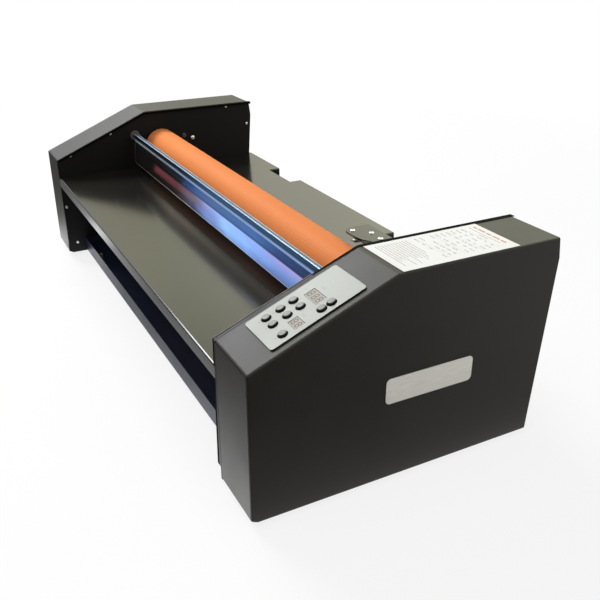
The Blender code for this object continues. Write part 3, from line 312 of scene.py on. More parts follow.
quartzWhite = finish("quartzWhite", {
    "sockets": {shine: 0.6, "Transmission Weight": 0.35}, "tones": ((0.7, 0.72, 0.72), (0.8, 0.81, 0.81)),
    "scales": (50, 700), "fleck": 0.05, "roughness": (0.15, 0.25), "relief": (0.00003, 0.2)})


# the clear guard, painted light throughout, which the sheet also glows with: a painted sky reflection in
# blue, painted shade at its left end, the lower roller painted red through it
guardLook = {
    "sockets": {"Roughness": 0.1, "IOR": 1.49, shine: 0.45, "Emission Strength": 0.75},
    "alongX": (-0.4, 0.4), "waverScale": 14, "waverStretch": (1, 1, 4), "waver": 0.03,
    "splitZ": 0.2128, "splitBand": 0.0024, "ridgeZ": 0.2282, "ridgeBlend": 0.001,
    "upper": [(0.0, 0.004), (0.22, (0.008, 0.006, 0.006)), (0.33, (0.01, 0.017, 0.021)),
              (0.42, (0.03, 0.07, 0.205)), (0.55, (0.045, 0.099, 0.243)), (0.72, (0.038, 0.112, 0.3)),
              (0.82, (0.02, 0.05, 0.155)), (1.0, (0.006, 0.012, 0.045))],
    "lower": [(0.0, 0.004), (0.24, (0.008, 0.006, 0.005)), (0.33, (0.017, 0.012, 0.016)),
              (0.41, (0.04, 0.042, 0.1)), (0.5, (0.14, 0.215, 0.5)), (0.6, (0.25, 0.46, 0.85)),
              (0.7, (0.215, 0.39, 0.85)), (0.8, (0.15, 0.25, 0.56)), (1.0, (0.095, 0.16, 0.4))],
    "foot": (0.7, 1, 0.1885, 0.1985),
    "violet": (0.32, 0.3, 0.62), "violetLow": 0.198,
    "violetStops": [(0.42, 0.0), (0.49, 0.7), (0.58, 0.15), (0.72, 0.2), (0.82, 0.9)],
    "stripe": (0.104, 0.03, 0.036), "stripeRight": (0.15, 0.11, 0.135), "stripeTurnX": (-0.15, -0.05),
    "stripeStops": [(0.13, 0.0), (0.18, 0.95), (0.32, 0.95), (0.41, 0.8), (0.5, 0.0)],
    "stripeZ": (0.195, 0.2155), "stripeBand": [(0.0, 0), (0.38, 1), (0.68, 1), (1.0, 0)],
    "seam": [(0.0, 1), (0.6, 0.5), (1.0, (0.6, 0.6, 0.62))], "seamSettle": 4,
    "ridge": (0.185, 0.275, 0.5), "ridgeLeft": (0.15, 0.168, 0.18), "ridgeTurnX": (-0.2, -0.06),
    "streakScale": 260, "streakDetail": 2, "streakStretch": (1, 1, 0.12),
    "streaks": [(0.35, (0.95, 0.95, 0.96)), (0.65, 1)],
    "relief": (0.00002, 0.15),
    "clear": (0.12, 0.12, 0.12),      # how mirrored rays meet the sheet
    "mirrorGlowSpan": (0.184, 0.214), "mirrorGlowGain": 2.0,
    "mirrorGlowRise": [(0.0, 0.0), (0.22, 0.95), (0.62, 1.0), (0.85, 0.5)],
    "mirrorGlow": [(0.0, 0.0), (0.12, (0.05, 0.042, 0.038)), (0.26, (0.27, 0.245, 0.195)),
             (0.39, (0.27, 0.24, 0.2)), (0.52, (0.21, 0.195, 0.16)), (0.65, (0.18, 0.165, 0.145)),
             (1.0, (0.14, 0.13, 0.115))],
}


def guardFilm(look):
    material, tree, shader = newMaterial("guardFilm", look["sockets"])
    place = axes(tree)
    height = place["Z"]

    def between(value, key):
        return share(tree, value, *look[key])

    def tones(value, key):
        return colourRamp(tree, value, look[key])

    def blend(spanKey, firstKey, secondKey):
        return mixColours(tree, between(place["X"], spanKey), look[firstKey], look[secondKey])

    along = between(place["X"], "alongX")
    waver = noiseField(tree, look["waverScale"], stretch=look["waverStretch"])
    drift = mathNode(tree, "ADD", along, spreadTo(tree, waver, -look["waver"], look["waver"]))
    # lower field of painted reflection, violet towards its upper edge, with the roller painted as a red
    # stripe, and darker towards its foot
    tinge = times(tree, tones(drift, "violetStops"), share(tree, height, look["violetLow"], look["splitZ"]))
    lower = mixColours(tree, tinge, tones(drift, "lower"), look["violet"])
    stripe = times(tree, tones(drift, "stripeStops"), tones(between(height, "stripeZ"), "stripeBand"))
    lower = mixColours(tree, stripe, lower, blend("stripeTurnX", "stripe", "stripeRight"))
    lower = times(tree, lower, spreadTo(tree, height, *look["foot"]))
    # upper field of painted reflection above a soft dark seam of painted shade, and a painted highlight as
    # the pale ridge under the rail
    half = look["splitBand"] / 2
    level = share(tree, height, look["splitZ"] - half, look["splitZ"] + half)
    both = mixColours(tree, level, lower, tones(drift, "upper"))
    settle = share(tree, height, look["splitZ"] + half, look["splitZ"] + look["seamSettle"] * half)
    seam = mixColours(tree, settle, tones(level, "seam"), (1.0, 1.0, 1.0))
    rise = share(tree, height, look["ridgeZ"] - look["ridgeBlend"], look["ridgeZ"])
    both = mixColours(tree, rise, times(tree, both, seam), blend("ridgeTurnX", "ridgeLeft", "ridge"))
    streak = noiseField(tree, look["streakScale"], look["streakDetail"], look["streakStretch"])
    colour = times(tree, both, tones(streak, "streaks"))
    fill(tree, shader, {"Base Color": colour, "Emission Color": colour})
    addBump(tree, shader, streak, *look["relief"])
    # mirrored rays pass the sheet and pick up a painted reflection, as a glow
    clear = addNode(tree, "ShaderNodeBsdfTransparent", {"Color": look["clear"]})
    mirrorGlow = times(tree, tones(along, "mirrorGlow"), tones(between(height, "mirrorGlowSpan"), "mirrorGlowRise"))
    mirrorPass = addNode(tree, "ShaderNodeAddShader",
                   {0: clear.outputs[0], 1: glowing(tree, mirrorGlow, look["mirrorGlowGain"])})
    mirrored = rayKinds(tree)[1]
    surface = mixShaders(tree, mirrored, shader.outputs[0], mirrorPass.outputs[0])
    fill(tree, tree.nodes["Material Output"], {"Surface": surface})
    return material


guardAcrylic = guardFilm(guardLook)

# painted highlight along the cut edge of the guard, dulled by painted shade at its left end and pale blue
# further right
edgeGlowLook = {
    "sockets": {shine: 0.5, "IOR": 1.49}, "alongX": (-0.4, 0.4),
    "tones": [(0.0, (0.2, 0.2, 0.18)), (0.1, (0.24, 0.23, 0.21)), (0.3, (0.6, 0.58, 0.54)),
              (0.4, (0.8, 0.78, 0.92)), (0.5, (0.54, 0.8, 1.0)), (0.7, (0.6, 0.72, 0.98)),
              (1.0, (0.48, 0.58, 0.85))],
    "grainScale": 700, "fleck": [(0.35, 0.85), (0.65, 1)], "roughness": (0.14, 0.24),
    "relief": (0.00002, 0.1),
}


def edgeFinish(look):
    material, tree, shader = newMaterial("edgeGlow", look["sockets"])
    along = share(tree, axes(tree)["X"], *look["alongX"])
    grain = noiseField(tree, look["grainScale"])
    colour = times(tree, colourRamp(tree, along, look["tones"]), colourRamp(tree, grain, look["fleck"]))
    fill(tree, shader, {"Base Color": colour, "Roughness": spreadTo(tree, grain, *look["roughness"])})
    addBump(tree, shader, grain, *look["relief"])
    return material


edgeGlow = edgeFinish(edgeGlowLook)

# painted highlights on the corners and low edge of the guard's rail
railHighlightLook = {
    "stretch": (0.6, 1, 1), "scales": (6, 700), "fleck": 0.1, "roughness": (0.3, 0.42),
    "relief": (0.00003, 0.2),
}
railRim = finish("railRim", {**railHighlightLook, "sockets": {"Metallic": 0.3, shine: 0.5},
                             "tones": ((0.54, 0.53, 0.55), (0.74, 0.72, 0.74))})
railLine = finish("railLine", {**railHighlightLook, "sockets": {"Metallic": 0.2, shine: 0.5},
                               "tones": ((0.26, 0.37, 0.56), (0.38, 0.5, 0.7))})

# deep shadow of seams and wells
seamBlack = finish("seamBlack", {
    "sockets": {shine: 0.01}, "tones": ((0.0024, 0.0026, 0.0022), (0.0042, 0.0044, 0.0038)),
    "scales": (40, 1200), "fleck": 0.2, "roughness": (0.55, 0.65), "relief": (0.00004, 0.3)})
# paler tone on the side faces of the sensor plate
plateSideTone = finish("plateSideTone", {
    "sockets": {shine: 0.4}, "tones": ((0.07, 0.068, 0.062), (0.11, 0.108, 0.1)),
    "scales": (26, 900), "fleck": 0.15, "roughness": (0.4, 0.5), "relief": (0.00004, 0.3)})

# print
inkLook = {
    "sockets": {shine: 0.3}, "scales": (90, 2500), "fleck": 0.1, "roughness": (0.4, 0.5),
    "relief": (0.00001, 0.1),
}
redInk = finish("redInk", {**inkLook, "tones": ((0.4, 0.19, 0.17), (0.52, 0.29, 0.26))})
blueInk = finish("blueInk", {**inkLook, "tones": ((0.22, 0.25, 0.3), (0.34, 0.37, 0.43))})
paleInk = finish("paleInk", {**inkLook, "tones": ((0.27, 0.24, 0.235), (0.36, 0.33, 0.32))})
whiteInk = finish("whiteInk", {**inkLook, "tones": ((0.7, 0.7, 0.7), (0.8, 0.8, 0.8))})
print("finishes made:", len(bpy.data.materials))


# each solid gets the finish whose list has its name or how that starts
finishOf = {
    powderBlack: ["left_cover", "right_cover"],
    trayBlack: ["base_tray"],
    plateBlack: ["left_frame_plate", "right_frame_plate"],
    tableGrey: ["front_table", "rear_table", "sensor_bracket"],
    siliconeOrange: ["upper_roller_sleeve", "lower_roller_sleeve"],
    bareAluminium: ["upper_roller_core", "lower_roller_core"],
    platedSteel: ["gear_motor", "motor_", "spring_bracket_", "pressure_spring_", "guard_pin_"],
    gearNylon: ["upper_gear", "lower_gear"],
    bearingPlastic: ["lower_bearing_", "upper_bearing_block_", "temperature_sensor", "power_inlet",
                     "switch_frame", "power_switch"],
    bushBrown: ["guard_bush_"],
    railBlue: ["guard_rail"],
    guardAcrylic: ["guard_sheet"],
    panelSilver: ["control_panel"],
    buttonGrey: ["button_"],
    displayFace: ["temp_display", "speed_display"],
    boardGreen: ["control_board", "power_board"],
    labelPaper: ["settings_label"],
    badgeMetal: ["side_badge"],
    rubberBlack: ["foot_"],
    quartzWhite: ["heater_tube"],
}


def finishSolids(table):
    done = []
    for material, starts in table.items():
        for name in [n for n in nodes if n.startswith(tuple(starts))]:
            slots = nodes[name].data.materials
            if not slots:
                slots.append(material)
            for index in range(len(slots)):
                slots[index] = material
            done.append(name)
    print("solids finished:", len(done), "left:", sorted(set(nodes) - set(done)))


finishSolids(finishOf)


# helpers for the fitted pieces
def meshOf(bm, name="tool"):
    mesh = bpy.data.meshes.new(name)
    bm.to_mesh(mesh)
    bm.free()
    return mesh


sharpFrom = radians(32)


def pieceFromBmesh(bm, name, material, body, smooth=True):
    bmesh.ops.recalc_face_normals(bm, faces=bm.faces)
    mesh = meshOf(bm, name)
    mesh.materials.append(material)
    piece = addObject(name, mesh)
    if smooth:
        mesh.shade_smooth()
        mesh.set_sharp_from_angle(angle=sharpFrom)
    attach(piece, body)
    return piece


def circle(radius, count, start=0.0):
    turns = [start + 2 * pi * i / count for i in range(count)]
    return [(radius * cos(turn), radius * sin(turn)) for turn in turns]


def quarter(x, y, radius, start, steps):
    # points of a quarter turn about (x, y)
    turns = [start + pi / 2 * i / steps for i in range(steps + 1)]
    return [(x + radius * cos(turn), y + radius * sin(turn)) for turn in turns]


def loft(bm, rings, ends=True):
    # faces from each ring of points to the next, where a single point is a tip, and over the two ends
    rings = [[bm.verts.new(point) for point in ring] for ring in rings]
    for low, high in zip(rings, rings[1:]):
        for i in range(max(len(low), len(high))):
            j = i + 1
            corners = [low[i % len(low)], low[j % len(low)], high[j % len(high)], high[i % len(high)]]
            corners = [c for n, c in enumerate(corners) if c not in corners[:n]]
            if len(corners) > 2:
                bm.faces.new(corners)
    if ends:
        bm.faces.new(rings[0][::-1])
        bm.faces.new(rings[-1])
    return bm


def spun(profile, steps, wide=1, tall=1):
    # line of (radius, height) turned about Z
    rings = []
    for radius, height in profile:
        ring = circle(radius * wide, steps) if radius else [(0, 0)]
        rings.append([(x, y, height * tall) for x, y in ring])
    return loft(bmesh.new(), rings, False)


def prism(bm, outline, low, high):
    return loft(bm, [[(x, y, z) for x, y in outline] for z in (low, high)])


def cutMesh(base, tool):
    # base less tool, as a plain mesh
    holder, cutter = addObject("holder", base), addObject("cutter", tool)
    step = holder.modifiers.new("cut", "BOOLEAN")
    step.object = cutter
    step.operation = "DIFFERENCE"
    step.solver = "EXACT"
    bpy.context.view_layer.update()
    result = bpy.data.meshes.new_from_object(holder.evaluated_get(bpy.context.evaluated_depsgraph_get()))
    for item in (holder, cutter):
        bpy.data.objects.remove(item)
    return result


def facing(outward):
    # turn that points Z outwards
    return Vector(outward).to_track_quat("Z", "Y").to_matrix().to_4x4()


def middleOf(name):
    low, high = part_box(name)
    return (low + high) / 2


# pan head screws with a cross recess, for a head of radius 1; one mesh, laid out many times
screwLook = {
    "rise": 0.52, "arm": 0.13, "reach": 0.56, "recess": 0.34, "steps": 28,
    "foot": [(0, 0), (0.96, 0), (1.0, 0.05)],
    "dome": [(0.98, 0.42), (0.88, 0.7), (0.68, 0.88), (0.4, 0.97), (0, 1)],      # shares of the rise
    "toolTop": 0.2, "taper": (0.72, 1.08),
}
nutLook = {
    "steps": 6,
    "profile": [(0.5, 0), (1, 0), (1, 0.7), (0.86, 0.82), (0.5, 0.82), (0.5, 1.05), (0.4, 1.18), (0, 1.18)],
}


def screwMesh(look):
    rise, arm, reach = look["rise"], look["arm"], look["reach"]
    bm = spun(look["foot"] + [(r, rise * h) for r, h in look["dome"]], look["steps"])
    bmesh.ops.recalc_face_normals(bm, faces=bm.faces)
    base = meshOf(bm)
    for wide, long in ((arm, reach), (reach, arm)):
        corners = ((-wide, -long), (wide, -long), (wide, long), (-wide, long))
        rings = [[(x * part, y * part, height) for x, y in corners]
                 for height, part in zip((rise - look["recess"], rise + look["toolTop"]), look["taper"])]
        base = cutMesh(base, meshOf(loft(bmesh.new(), rings)))
    return base


crossScrew = screwMesh(screwLook)
hexNut = meshOf(spun(nutLook["profile"], nutLook["steps"]))


def fasten(name, kind, look, spots):
    # spots are (place, outward direction)
    chance = random.Random(look["seed"])
    bm = bmesh.new()
    for place, outward in spots:
        spin = Matrix.Rotation(chance.uniform(0, pi), 4, "Z")
        before = set(bm.verts)
        bm.from_mesh(kind)
        fresh = [v for v in bm.verts if v not in before]
        move = Matrix.Translation(place) @ facing(outward) @ spin @ Matrix.Scale(look["size"], 4)
        bmesh.ops.transform(bm, matrix=move, verts=fresh)
    pieceFromBmesh(bm, name, platedSteel, "chassis")


sides = ((-1, "left"), (1, "right"))
upwards = (0, 0, 1)
plateFace = abs(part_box("left_frame_plate")[1].x)
plateScrews = {
    "size": 0.003, "seed": 5,
    "spots": [(-0.1818, 0.21), (-0.0988, 0.2444), (0.152, 0.2753), (0.1993, 0.2347), (-0.2027, 0.1081),
              (0.185, 0.03), (-0.19, 0.03)],
}
tensionBolts = {"size": 0.0048, "seed": 9, "spots": [(0.0742, 0.2179)]}
for side, sideName in sides:
    for name, look in (("plate_screws_", plateScrews), ("tension_bolt_", tensionBolts)):
        fasten(name + sideName, crossScrew, {**look, "seed": look["seed"] + side},
               [((side * plateFace, y, z), (-side, 0, 0)) for y, z in look["spots"]])

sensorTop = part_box("sensor_bracket")[1].z
sensorScrews = {"size": 0.0036, "seed": 21, "spots": [(0.315, 0.0268), (0.334, 0.0438), (0.357, 0.0428)]}
fasten("sensor_bracket_screws", crossScrew, sensorScrews,
       [((x, y, sensorTop), upwards) for x, y in sensorScrews["spots"]])

# nuts of the feet on the tray's sheet
footNuts = {"size": 0.0052, "seed": 23, "traySheet": 0.0015}
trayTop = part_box("base_tray")[0].z + footNuts["traySheet"]
footMiddles = [middleOf(n) for n in sorted(nodes) if n.startswith("foot_")]
fasten("foot_nuts", hexNut, footNuts, [((m.x, m.y, trayTop), upwards) for m in footMiddles])

inletScrews = {"size": 0.0026, "seed": 25, "apart": 0.0205, "sink": 0.0011, "outward": (0, 1, -0.0642)}
inletMiddle = middleOf("power_inlet")
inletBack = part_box("power_inlet")[1].y - inletScrews["sink"]
fasten("inlet_screws", crossScrew, inletScrews,
       [((inletMiddle.x + side * inletScrews["apart"], inletBack, inletMiddle.z), inletScrews["outward"])
        for side in (-1, 1)])
print("fasteners made")


# dark stud beside the bolt on each frame plate, in copper tone
studLook = {
    "place": (0.0562, 0.2253), "size": 0.0046, "rise": 0.003, "steps": 24,
    "profile": [(0, 0), (1, 0), (1, 0.35), (0.86, 0.45), (0.8, 1), (0.55, 1), (0.48, 0.5), (0, 0.5)],
}


def tensionStud(look, side, sideName):
    bm = spun(look["profile"], look["steps"], look["size"], look["rise"])
    spot = (side * plateFace, *look["place"])
    bmesh.ops.transform(bm, matrix=Matrix.Translation(spot) @ facing((-side, 0, 0)), verts=bm.verts)
    pieceFromBmesh(bm, "tension_stud_" + sideName, bushBrown, "chassis")


for side, sideName in sides:
    tensionStud(studLook, side, sideName)


# narrower plate for the sensor, with a rounded corner, a fold down the housing and an arm for the bead
bracketLook = {
    "length": 0.04, "corner": 0.012, "sheet": 0.0025, "hole": 0.0041, "steps": 10, "holeSteps": 24,
    "cutPast": 0.001, "foldGap": 0.00001, "flat": 0.5,
    "arm": (0.3335, 0.3465, 0.0122, 0.0184, 0.2552, 0.2562), "armTaper": 0.002,
}


def sensorBracket(look):
    low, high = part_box("sensor_bracket")
    under = high.z - look["sheet"]
    back, corner, past = low.y + look["length"], look["corner"], look["cutPast"]
    outline = [(low.x, back)] + quarter(low.x + corner, low.y + corner, corner, pi, look["steps"])
    outline += [(high.x, low.y), (high.x, back)]
    plate = meshOf(prism(bmesh.new(), outline, under, high.z))
    middle = middleOf("temperature_sensor")
    hole = [(middle.x + x, middle.y + y) for x, y in circle(look["hole"], look["holeSteps"])]
    plate = cutMesh(plate, meshOf(prism(bmesh.new(), hole, under - past, high.z + past)))
    bm = bmesh.new()
    bm.from_mesh(plate)
    fold = high.x - look["sheet"]
    prism(bm, [(fold, low.y), (high.x, low.y), (high.x, back), (fold, back)], low.z, under - look["foldGap"])
    x0, x1, y0, y1, z0, z1 = look["arm"]
    prism(bm, [(x0 + look["armTaper"], y0), (x1 - look["armTaper"], y0), (x1, y1), (x0, y1)], z0, z1)
    piece = pieceFromBmesh(bm, "sensor_plate", bracketGrey, "chassis", False)
    piece.data.materials.append(plateSideTone)
    for face in piece.data.polygons:
        if abs(face.normal.z) < look["flat"]:
            face.material_index = 1
    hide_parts("sensor_bracket")


sensorBracket(bracketLook)
armRivet = {"place": (0.3382, 0.0152, 0.2562), "size": 0.002, "seed": 31}
fasten("sensor_arm_rivet", crossScrew, armRivet, [(armRivet["place"], upwards)])

# the sensor's black lead over the plate, thickest where it leaves the bead; its black also stands in as
# painted shadow under the plate's front edge
leadLook = {
    "line": [(0.3335, 0.0178), (0.339, 0.0158), (0.344, 0.0155), (0.348, 0.0163), (0.353, 0.0192),
             (0.357, 0.0232), (0.3605, 0.0275)],
    "thick": [0.0004, 0.0008, 0.0012, 0.0011, 0.0008, 0.0006, 0.0004], "sides": 8, "lift": 0.0002,
    "bead": (0.343, 0.015, 0.2562), "beadSize": 0.0019, "beadSteps": 16,
    "beadShape": [(0, 0), (1, 0), (1.1, 0.5), (0.8, 1.1), (0, 1.3)],
}


def sensorLead(look):
    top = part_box("sensor_bracket")[1].z + look["lift"]
    points = [Vector((x, y, top + r)) for (x, y), r in zip(look["line"], look["thick"])]
    rings = []
    for index, (point, radius) in enumerate(zip(points, look["thick"])):
        ahead = (points[min(index + 1, len(points) - 1)] - points[max(index - 1, 0)]).normalized()
        across = ahead.cross(Vector(upwards)).normalized()
        up = across.cross(ahead)
        rings.append([point + across * x + up * y for x, y in circle(radius, look["sides"])])
    bm = loft(bmesh.new(), rings)
    pieceFromBmesh(bm, "sensor_lead", seamBlack, "chassis")
    bm = spun(look["beadShape"], look["beadSteps"], look["beadSize"], look["beadSize"])
    bmesh.ops.translate(bm, vec=look["bead"], verts=bm.verts)
    pieceFromBmesh(bm, "sensor_bead", bushBrown, "chassis")


sensorLead(leadLook)
print("sensor dressed")


# the guard's frame: its hinge line, leaning forwards, with the rail's and the sheet's own sizes
guardFrame = {
    "depth": -0.0487, "height": 0.2366, "lean": 6, "railHalf": 0.0039, "railTop": 0.0043,
    "railLow": -0.0055, "railEdge": 0.0006, "sheetFront": -0.0031, "sheetLow": -0.0519,
    "sheetHalf": 0.4, "corner": 0.012,
}
guardTurn = Matrix.Translation((0, guardFrame["depth"], guardFrame["height"])) \
    @ Matrix.Rotation(-radians(guardFrame["lean"]), 4, "X")

# painted highlights: a bright cut edge round the sheet and pale lines along the rail
edgeLook = {
    "wide": 0.0011, "lift": 0.00005, "steps": 8, "underRail": 0.0002, "end": 0.4078,
    "rimWide": 0.0007, "lineWide": 0.0005, "ridgeTall": 0.0012,
}


def guardRibbon(first, second):
    # strip between two lines of points in the guard's frame
    bm = bmesh.new()
    first, second = [[bm.verts.new(guardTurn @ Vector(p)) for p in line] for line in (first, second)]
    for i in range(len(first) - 1):
        bm.faces.new((first[i], first[i + 1], second[i + 1], second[i]))
    return bm


def guardEdges(look):
    half, low, corner = guardFrame["sheetHalf"], guardFrame["sheetLow"], guardFrame["corner"]
    face = guardFrame["sheetFront"] - look["lift"]
    top = guardFrame["railLow"] - look["underRail"]
    lines = []
    for inset in (0, look["wide"]):
        path = [(-half + inset, top)]
        for side, start in ((-1, pi), (1, 3 * pi / 2)):
            path += quarter(side * (half - corner), low + corner, corner - inset, start, look["steps"])
        path.append((half - inset, top))
        lines.append([(x, face, z) for x, z in path])
    bm = guardRibbon(*lines)
    pieceFromBmesh(bm, "guard_edge_highlight", edgeGlow, "guard", False)


def railStrip(name, spots, material, look):
    # spots are (depth, height) across the strip, in the guard's frame
    bm = guardRibbon(*[[(x, y, z) for y, z in spots] for x in (look["end"], -look["end"])])
    pieceFromBmesh(bm, name, material, "guard", False)


def railLines(look):
    half, top, low = guardFrame["railHalf"], guardFrame["railTop"], guardFrame["railLow"]
    edge, lift, line = guardFrame["railEdge"], look["lift"], look["lineWide"]
    railStrip("rail_rear_rim", [(half - edge - look["rimWide"], top + lift), (half - edge, top + lift),
                                (half + lift, top - edge), (half + lift, top - edge - line)],
              railRim, look)
    railStrip("rail_front_line", [(-half - lift, top - edge - line / 2), (-half - lift, top - edge),
                                  (-half + edge, top + lift), (-half + edge + line, top + lift)],
              railLine, look)
    railStrip("rail_low_ridge", [(-half - lift, low + look["ridgeTall"]), (-half - lift, low)],
              railLine, look)


guardEdges(edgeLook)
railLines(edgeLook)
print("guard dressed")


# black lips over the seam of each plate and its cover, painted as the seam's dark shade, thin flanges, and
# the corner of the right slope
seamLook = {
    "lift": 0.00012, "under": 0.00002, "drop": 0.004, "plate": 0.41195,
    "front": [(-0.20907, 0.03), (-0.20907, 0.204)], "frontFill": 0.4121,
    "frontSpans": [(0.4024, 0.4085), (0.4076, 0.4118)],
    "line": [(-0.2091, 0.20404), (-0.08, 0.25836), (-0.0262, 0.281), (-0.02, 0.281), (0.208, 0.281)],
    "spans": [(0.4086, 0.411), (0.4088, 0.412), (0.4094, 0.4144), (0.4079, 0.4168), (0.4079, 0.4168)],
    "flange": [(-0.2085, 0.2043), (-0.085, 0.25626)], "flangeSpan": (0.4106, 0.4126),
    "flangeLift": 0.00018,
    "worn": [(-0.2085, 0.2043), (-0.085, 0.2563)], "wornSpan": (0.4066, 0.4084), "wornDrop": 0.0016,
}


def lipStrip(name, side, line, sections, material):
    # closed strip whose section, points of (across, outward), follows a line of (depth, height)
    points = [Vector((0, y, z)) for y, z in line]
    rings = []
    for index, (point, section) in enumerate(zip(points, sections)):
        before = (point - points[index - 1]).normalized() if index else None
        after = (points[index + 1] - point).normalized() if index < len(points) - 1 else None
        ahead = ((before or after) + (after or before)).normalized()
        outward = Vector((0, -ahead.z, ahead.y)) / ahead.dot(after or before)
        rings.append([point + outward * out + Vector((side * across, 0, 0)) for across, out in section])
    bm = loft(bmesh.new(), rings)
    pieceFromBmesh(bm, name, material, "chassis", False)


def boxSection(near, far, high, low):
    return [(near, high), (far, high), (far, low), (near, low)]


def seamLips(look):
    lift, under, plate, drop = look["lift"], look["under"], look["plate"], look["drop"]
    lips = look["frontSpans"]
    fills = [(far, look["frontFill"]) for near, far in lips]
    for side, sideName in sides:
        sections = [[(near, lift), (far, lift), (far, under), (plate, under), (plate, -drop), (near, -drop)]
                    for near, far in look["spans"]]
        lipStrip("seam_lip_" + sideName, side, look["line"], sections, seamBlack)
        for name, spans, material in (("front_lip_", lips, seamBlack), ("front_flange_", fills, powderBlack)):
            sections = [boxSection(near, far, lift, under) for near, far in spans]
            lipStrip(name + sideName, side, look["front"], sections, material)
    flange = boxSection(*look["flangeSpan"], look["flangeLift"], under)
    lipStrip("slope_flange_right", 1, look["flange"], [flange] * 2, powderBlack)
    worn = boxSection(*look["wornSpan"], -lift, -look["wornDrop"])
    lipStrip("worn_corner_right", 1, look["worn"], [worn] * 2, powderBlack)


seamLips(seamLook)
print("seams laid")


# the slope of the right housing, as a frame for what is printed on it
slopeLook = {
    "sideX": 0.5, "frontY": -0.2092, "frontZ": 0.204, "slope": atan2(0.077, 0.183),
    "panelSide": 0.011, "panelRise": 0.037, "panelWide": 0.068, "panelLong": 0.125,
    "panelTop": 0.0019, "printLift": 0.00004,
}
slopeTurn = Matrix.Translation((slopeLook["sideX"], slopeLook["frontY"], slopeLook["frontZ"])) \
    @ Matrix.Rotation(slopeLook["slope"], 4, "X")


def panelSpot(u, s):
    # place on the panel's face from its shares, u from the outer side and s up the slope
    return Vector((-(slopeLook["panelSide"] + u * slopeLook["panelWide"]),
                   slopeLook["panelRise"] + s * slopeLook["panelLong"],
                   slopeLook["panelTop"] + slopeLook["printLift"]))


def flatShapes(name, shapes, turn, material, body):
    bm = bmesh.new()
    up = turn.to_3x3() @ Vector(upwards)
    for points in shapes:
        face = bm.faces.new([bm.verts.new(turn @ Vector(p)) for p in points])
        face.normal_update()
        if face.normal.dot(up) < 0:
            face.normal_flip()
    mesh = meshOf(bm, name)
    mesh.materials.append(material)
    piece = addObject(name, mesh)
    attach(piece, body)


def polygonShape(centre, radius, count, start=0.0):
    return [(centre.x + x, centre.y + y, centre.z) for x, y in circle(radius, count, start)]


def ringShapes(centre, radius, wide, steps=14):
    outer, inner = polygonShape(centre, radius, steps), polygonShape(centre, radius - wide, steps)
    return [[outer[i - 1], outer[i], inner[i], inner[i - 1]] for i in range(steps)]


def barShape(x0, x1, y0, y1, z):
    return [(x0, y0, z), (x1, y0, z), (x1, y1, z), (x0, y1, z)]


# seven-segment figures, all segments dark as when switched off; shares are of a figure's pitch and height
digitsLook = {
    "temp": {"u": 0.555, "s": 0.629, "wide": 0.0275, "long": 0.014, "count": 3},
    "speed": {"u": 0.241, "s": 0.33, "wide": 0.0176, "long": 0.0126, "count": 2},
    "bar": 0.0011, "gap": 0.18, "slant": 0.1, "wideShare": 0.52, "tallShare": 0.62, "sunk": 0.0003,
    "dot": 0.0006, "dotSteps": 8, "dotAcross": 0.42, "dotDown": 0.33,
}


def segmentShapes(centre, wide, tall, look):
    half, rise, cut = wide / 2, tall / 2, look["bar"] / 2
    gap = look["bar"] * look["gap"]
    outlines = []
    for y in (-rise, 0, rise):
        outlines.append([(-half + gap, y), (-half + cut + gap, y + cut), (half - cut - gap, y + cut),
                         (half - gap, y), (half - cut - gap, y - cut), (-half + cut + gap, y - cut)])
    for x in (-half, half):
        for low, high in ((-rise, 0), (0, rise)):
            outlines.append([(x, low + gap), (x + cut, low + cut + gap), (x + cut, high - cut - gap),
                             (x, high - gap), (x - cut, high - cut - gap), (x - cut, low + cut + gap)])
    return [[(centre.x + x + y * look["slant"], centre.y + y, centre.z) for x, y in points]
            for points in outlines]


def displayDigits(look):
    for name in ("temp", "speed"):
        one = look[name]
        pitch, tall = one["wide"] / one["count"], one["long"]
        shapes = []
        for index in range(one["count"]):
            centre = panelSpot(one["u"], one["s"]) - Vector((0, 0, look["sunk"]))
            centre.x += (index - (one["count"] - 1) / 2) * pitch
            shapes += segmentShapes(centre, pitch * look["wideShare"], tall * look["tallShare"], look)
            corner = centre + Vector((pitch * look["dotAcross"], -tall * look["dotDown"], 0))
            shapes.append(polygonShape(corner, look["dot"], look["dotSteps"]))
        flatShapes(name + "_digits", shapes, slopeTurn, digitBrown, "chassis")


displayDigits(digitsLook)

# painted shadow round each key: a dark disc set towards the outer side, away from the light
keyShadowLook = {"grow": 0.0001, "shift": 0.0007, "lift": 0.00003, "steps": 24}


def keyShadows(look):
    shapes = []
    for name in sorted(n for n in nodes if n.startswith("button_")):
        low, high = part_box(name)
        spot = slopeTurn.inverted() @ ((low + high) / 2)
        spot.x += look["shift"]
        spot.z = slopeLook["panelTop"] + look["lift"]
        shapes.append(polygonShape(spot, (high.x - low.x) / 2 + look["grow"], look["steps"]))
    flatShapes("key_shadows", shapes, slopeTurn, seamBlack, "chassis")


keyShadows(keyShadowLook)

# small generic marks beside the keys, as (u, s, kind), and pairs of short lines, as (u, s, length)
marksLook = {
    "size": 0.0017, "below": (0, -0.0092), "beside": (0.008464, 0),
    "dot": 0.8, "dotSteps": 12, "ringWide": 0.4,
    "keys": [(0.797, 0.178, "up"), (0.551, 0.178, "down"), (0.195, 0.175, "left"), (0.797, 0.33, "dot"),
             (0.551, 0.33, "ring"), (0.797, 0.47, "right"), (0.551, 0.47, "square")],
    "speedKeys": [(0.182, 0.578, "up"), (0.182, 0.682, "down")],
    "polygons": {"up": (3, pi / 2), "down": (3, -pi / 2), "left": (3, pi), "right": (3, 0),
                 "square": (4, pi / 4)},
    "lines": [(0.62, 0.735, 0.01), (0.86, 0.62, 0.006), (0.3, 0.415, 0.007)],
    "lineStep": 0.0017, "lineTall": 0.0006,
}


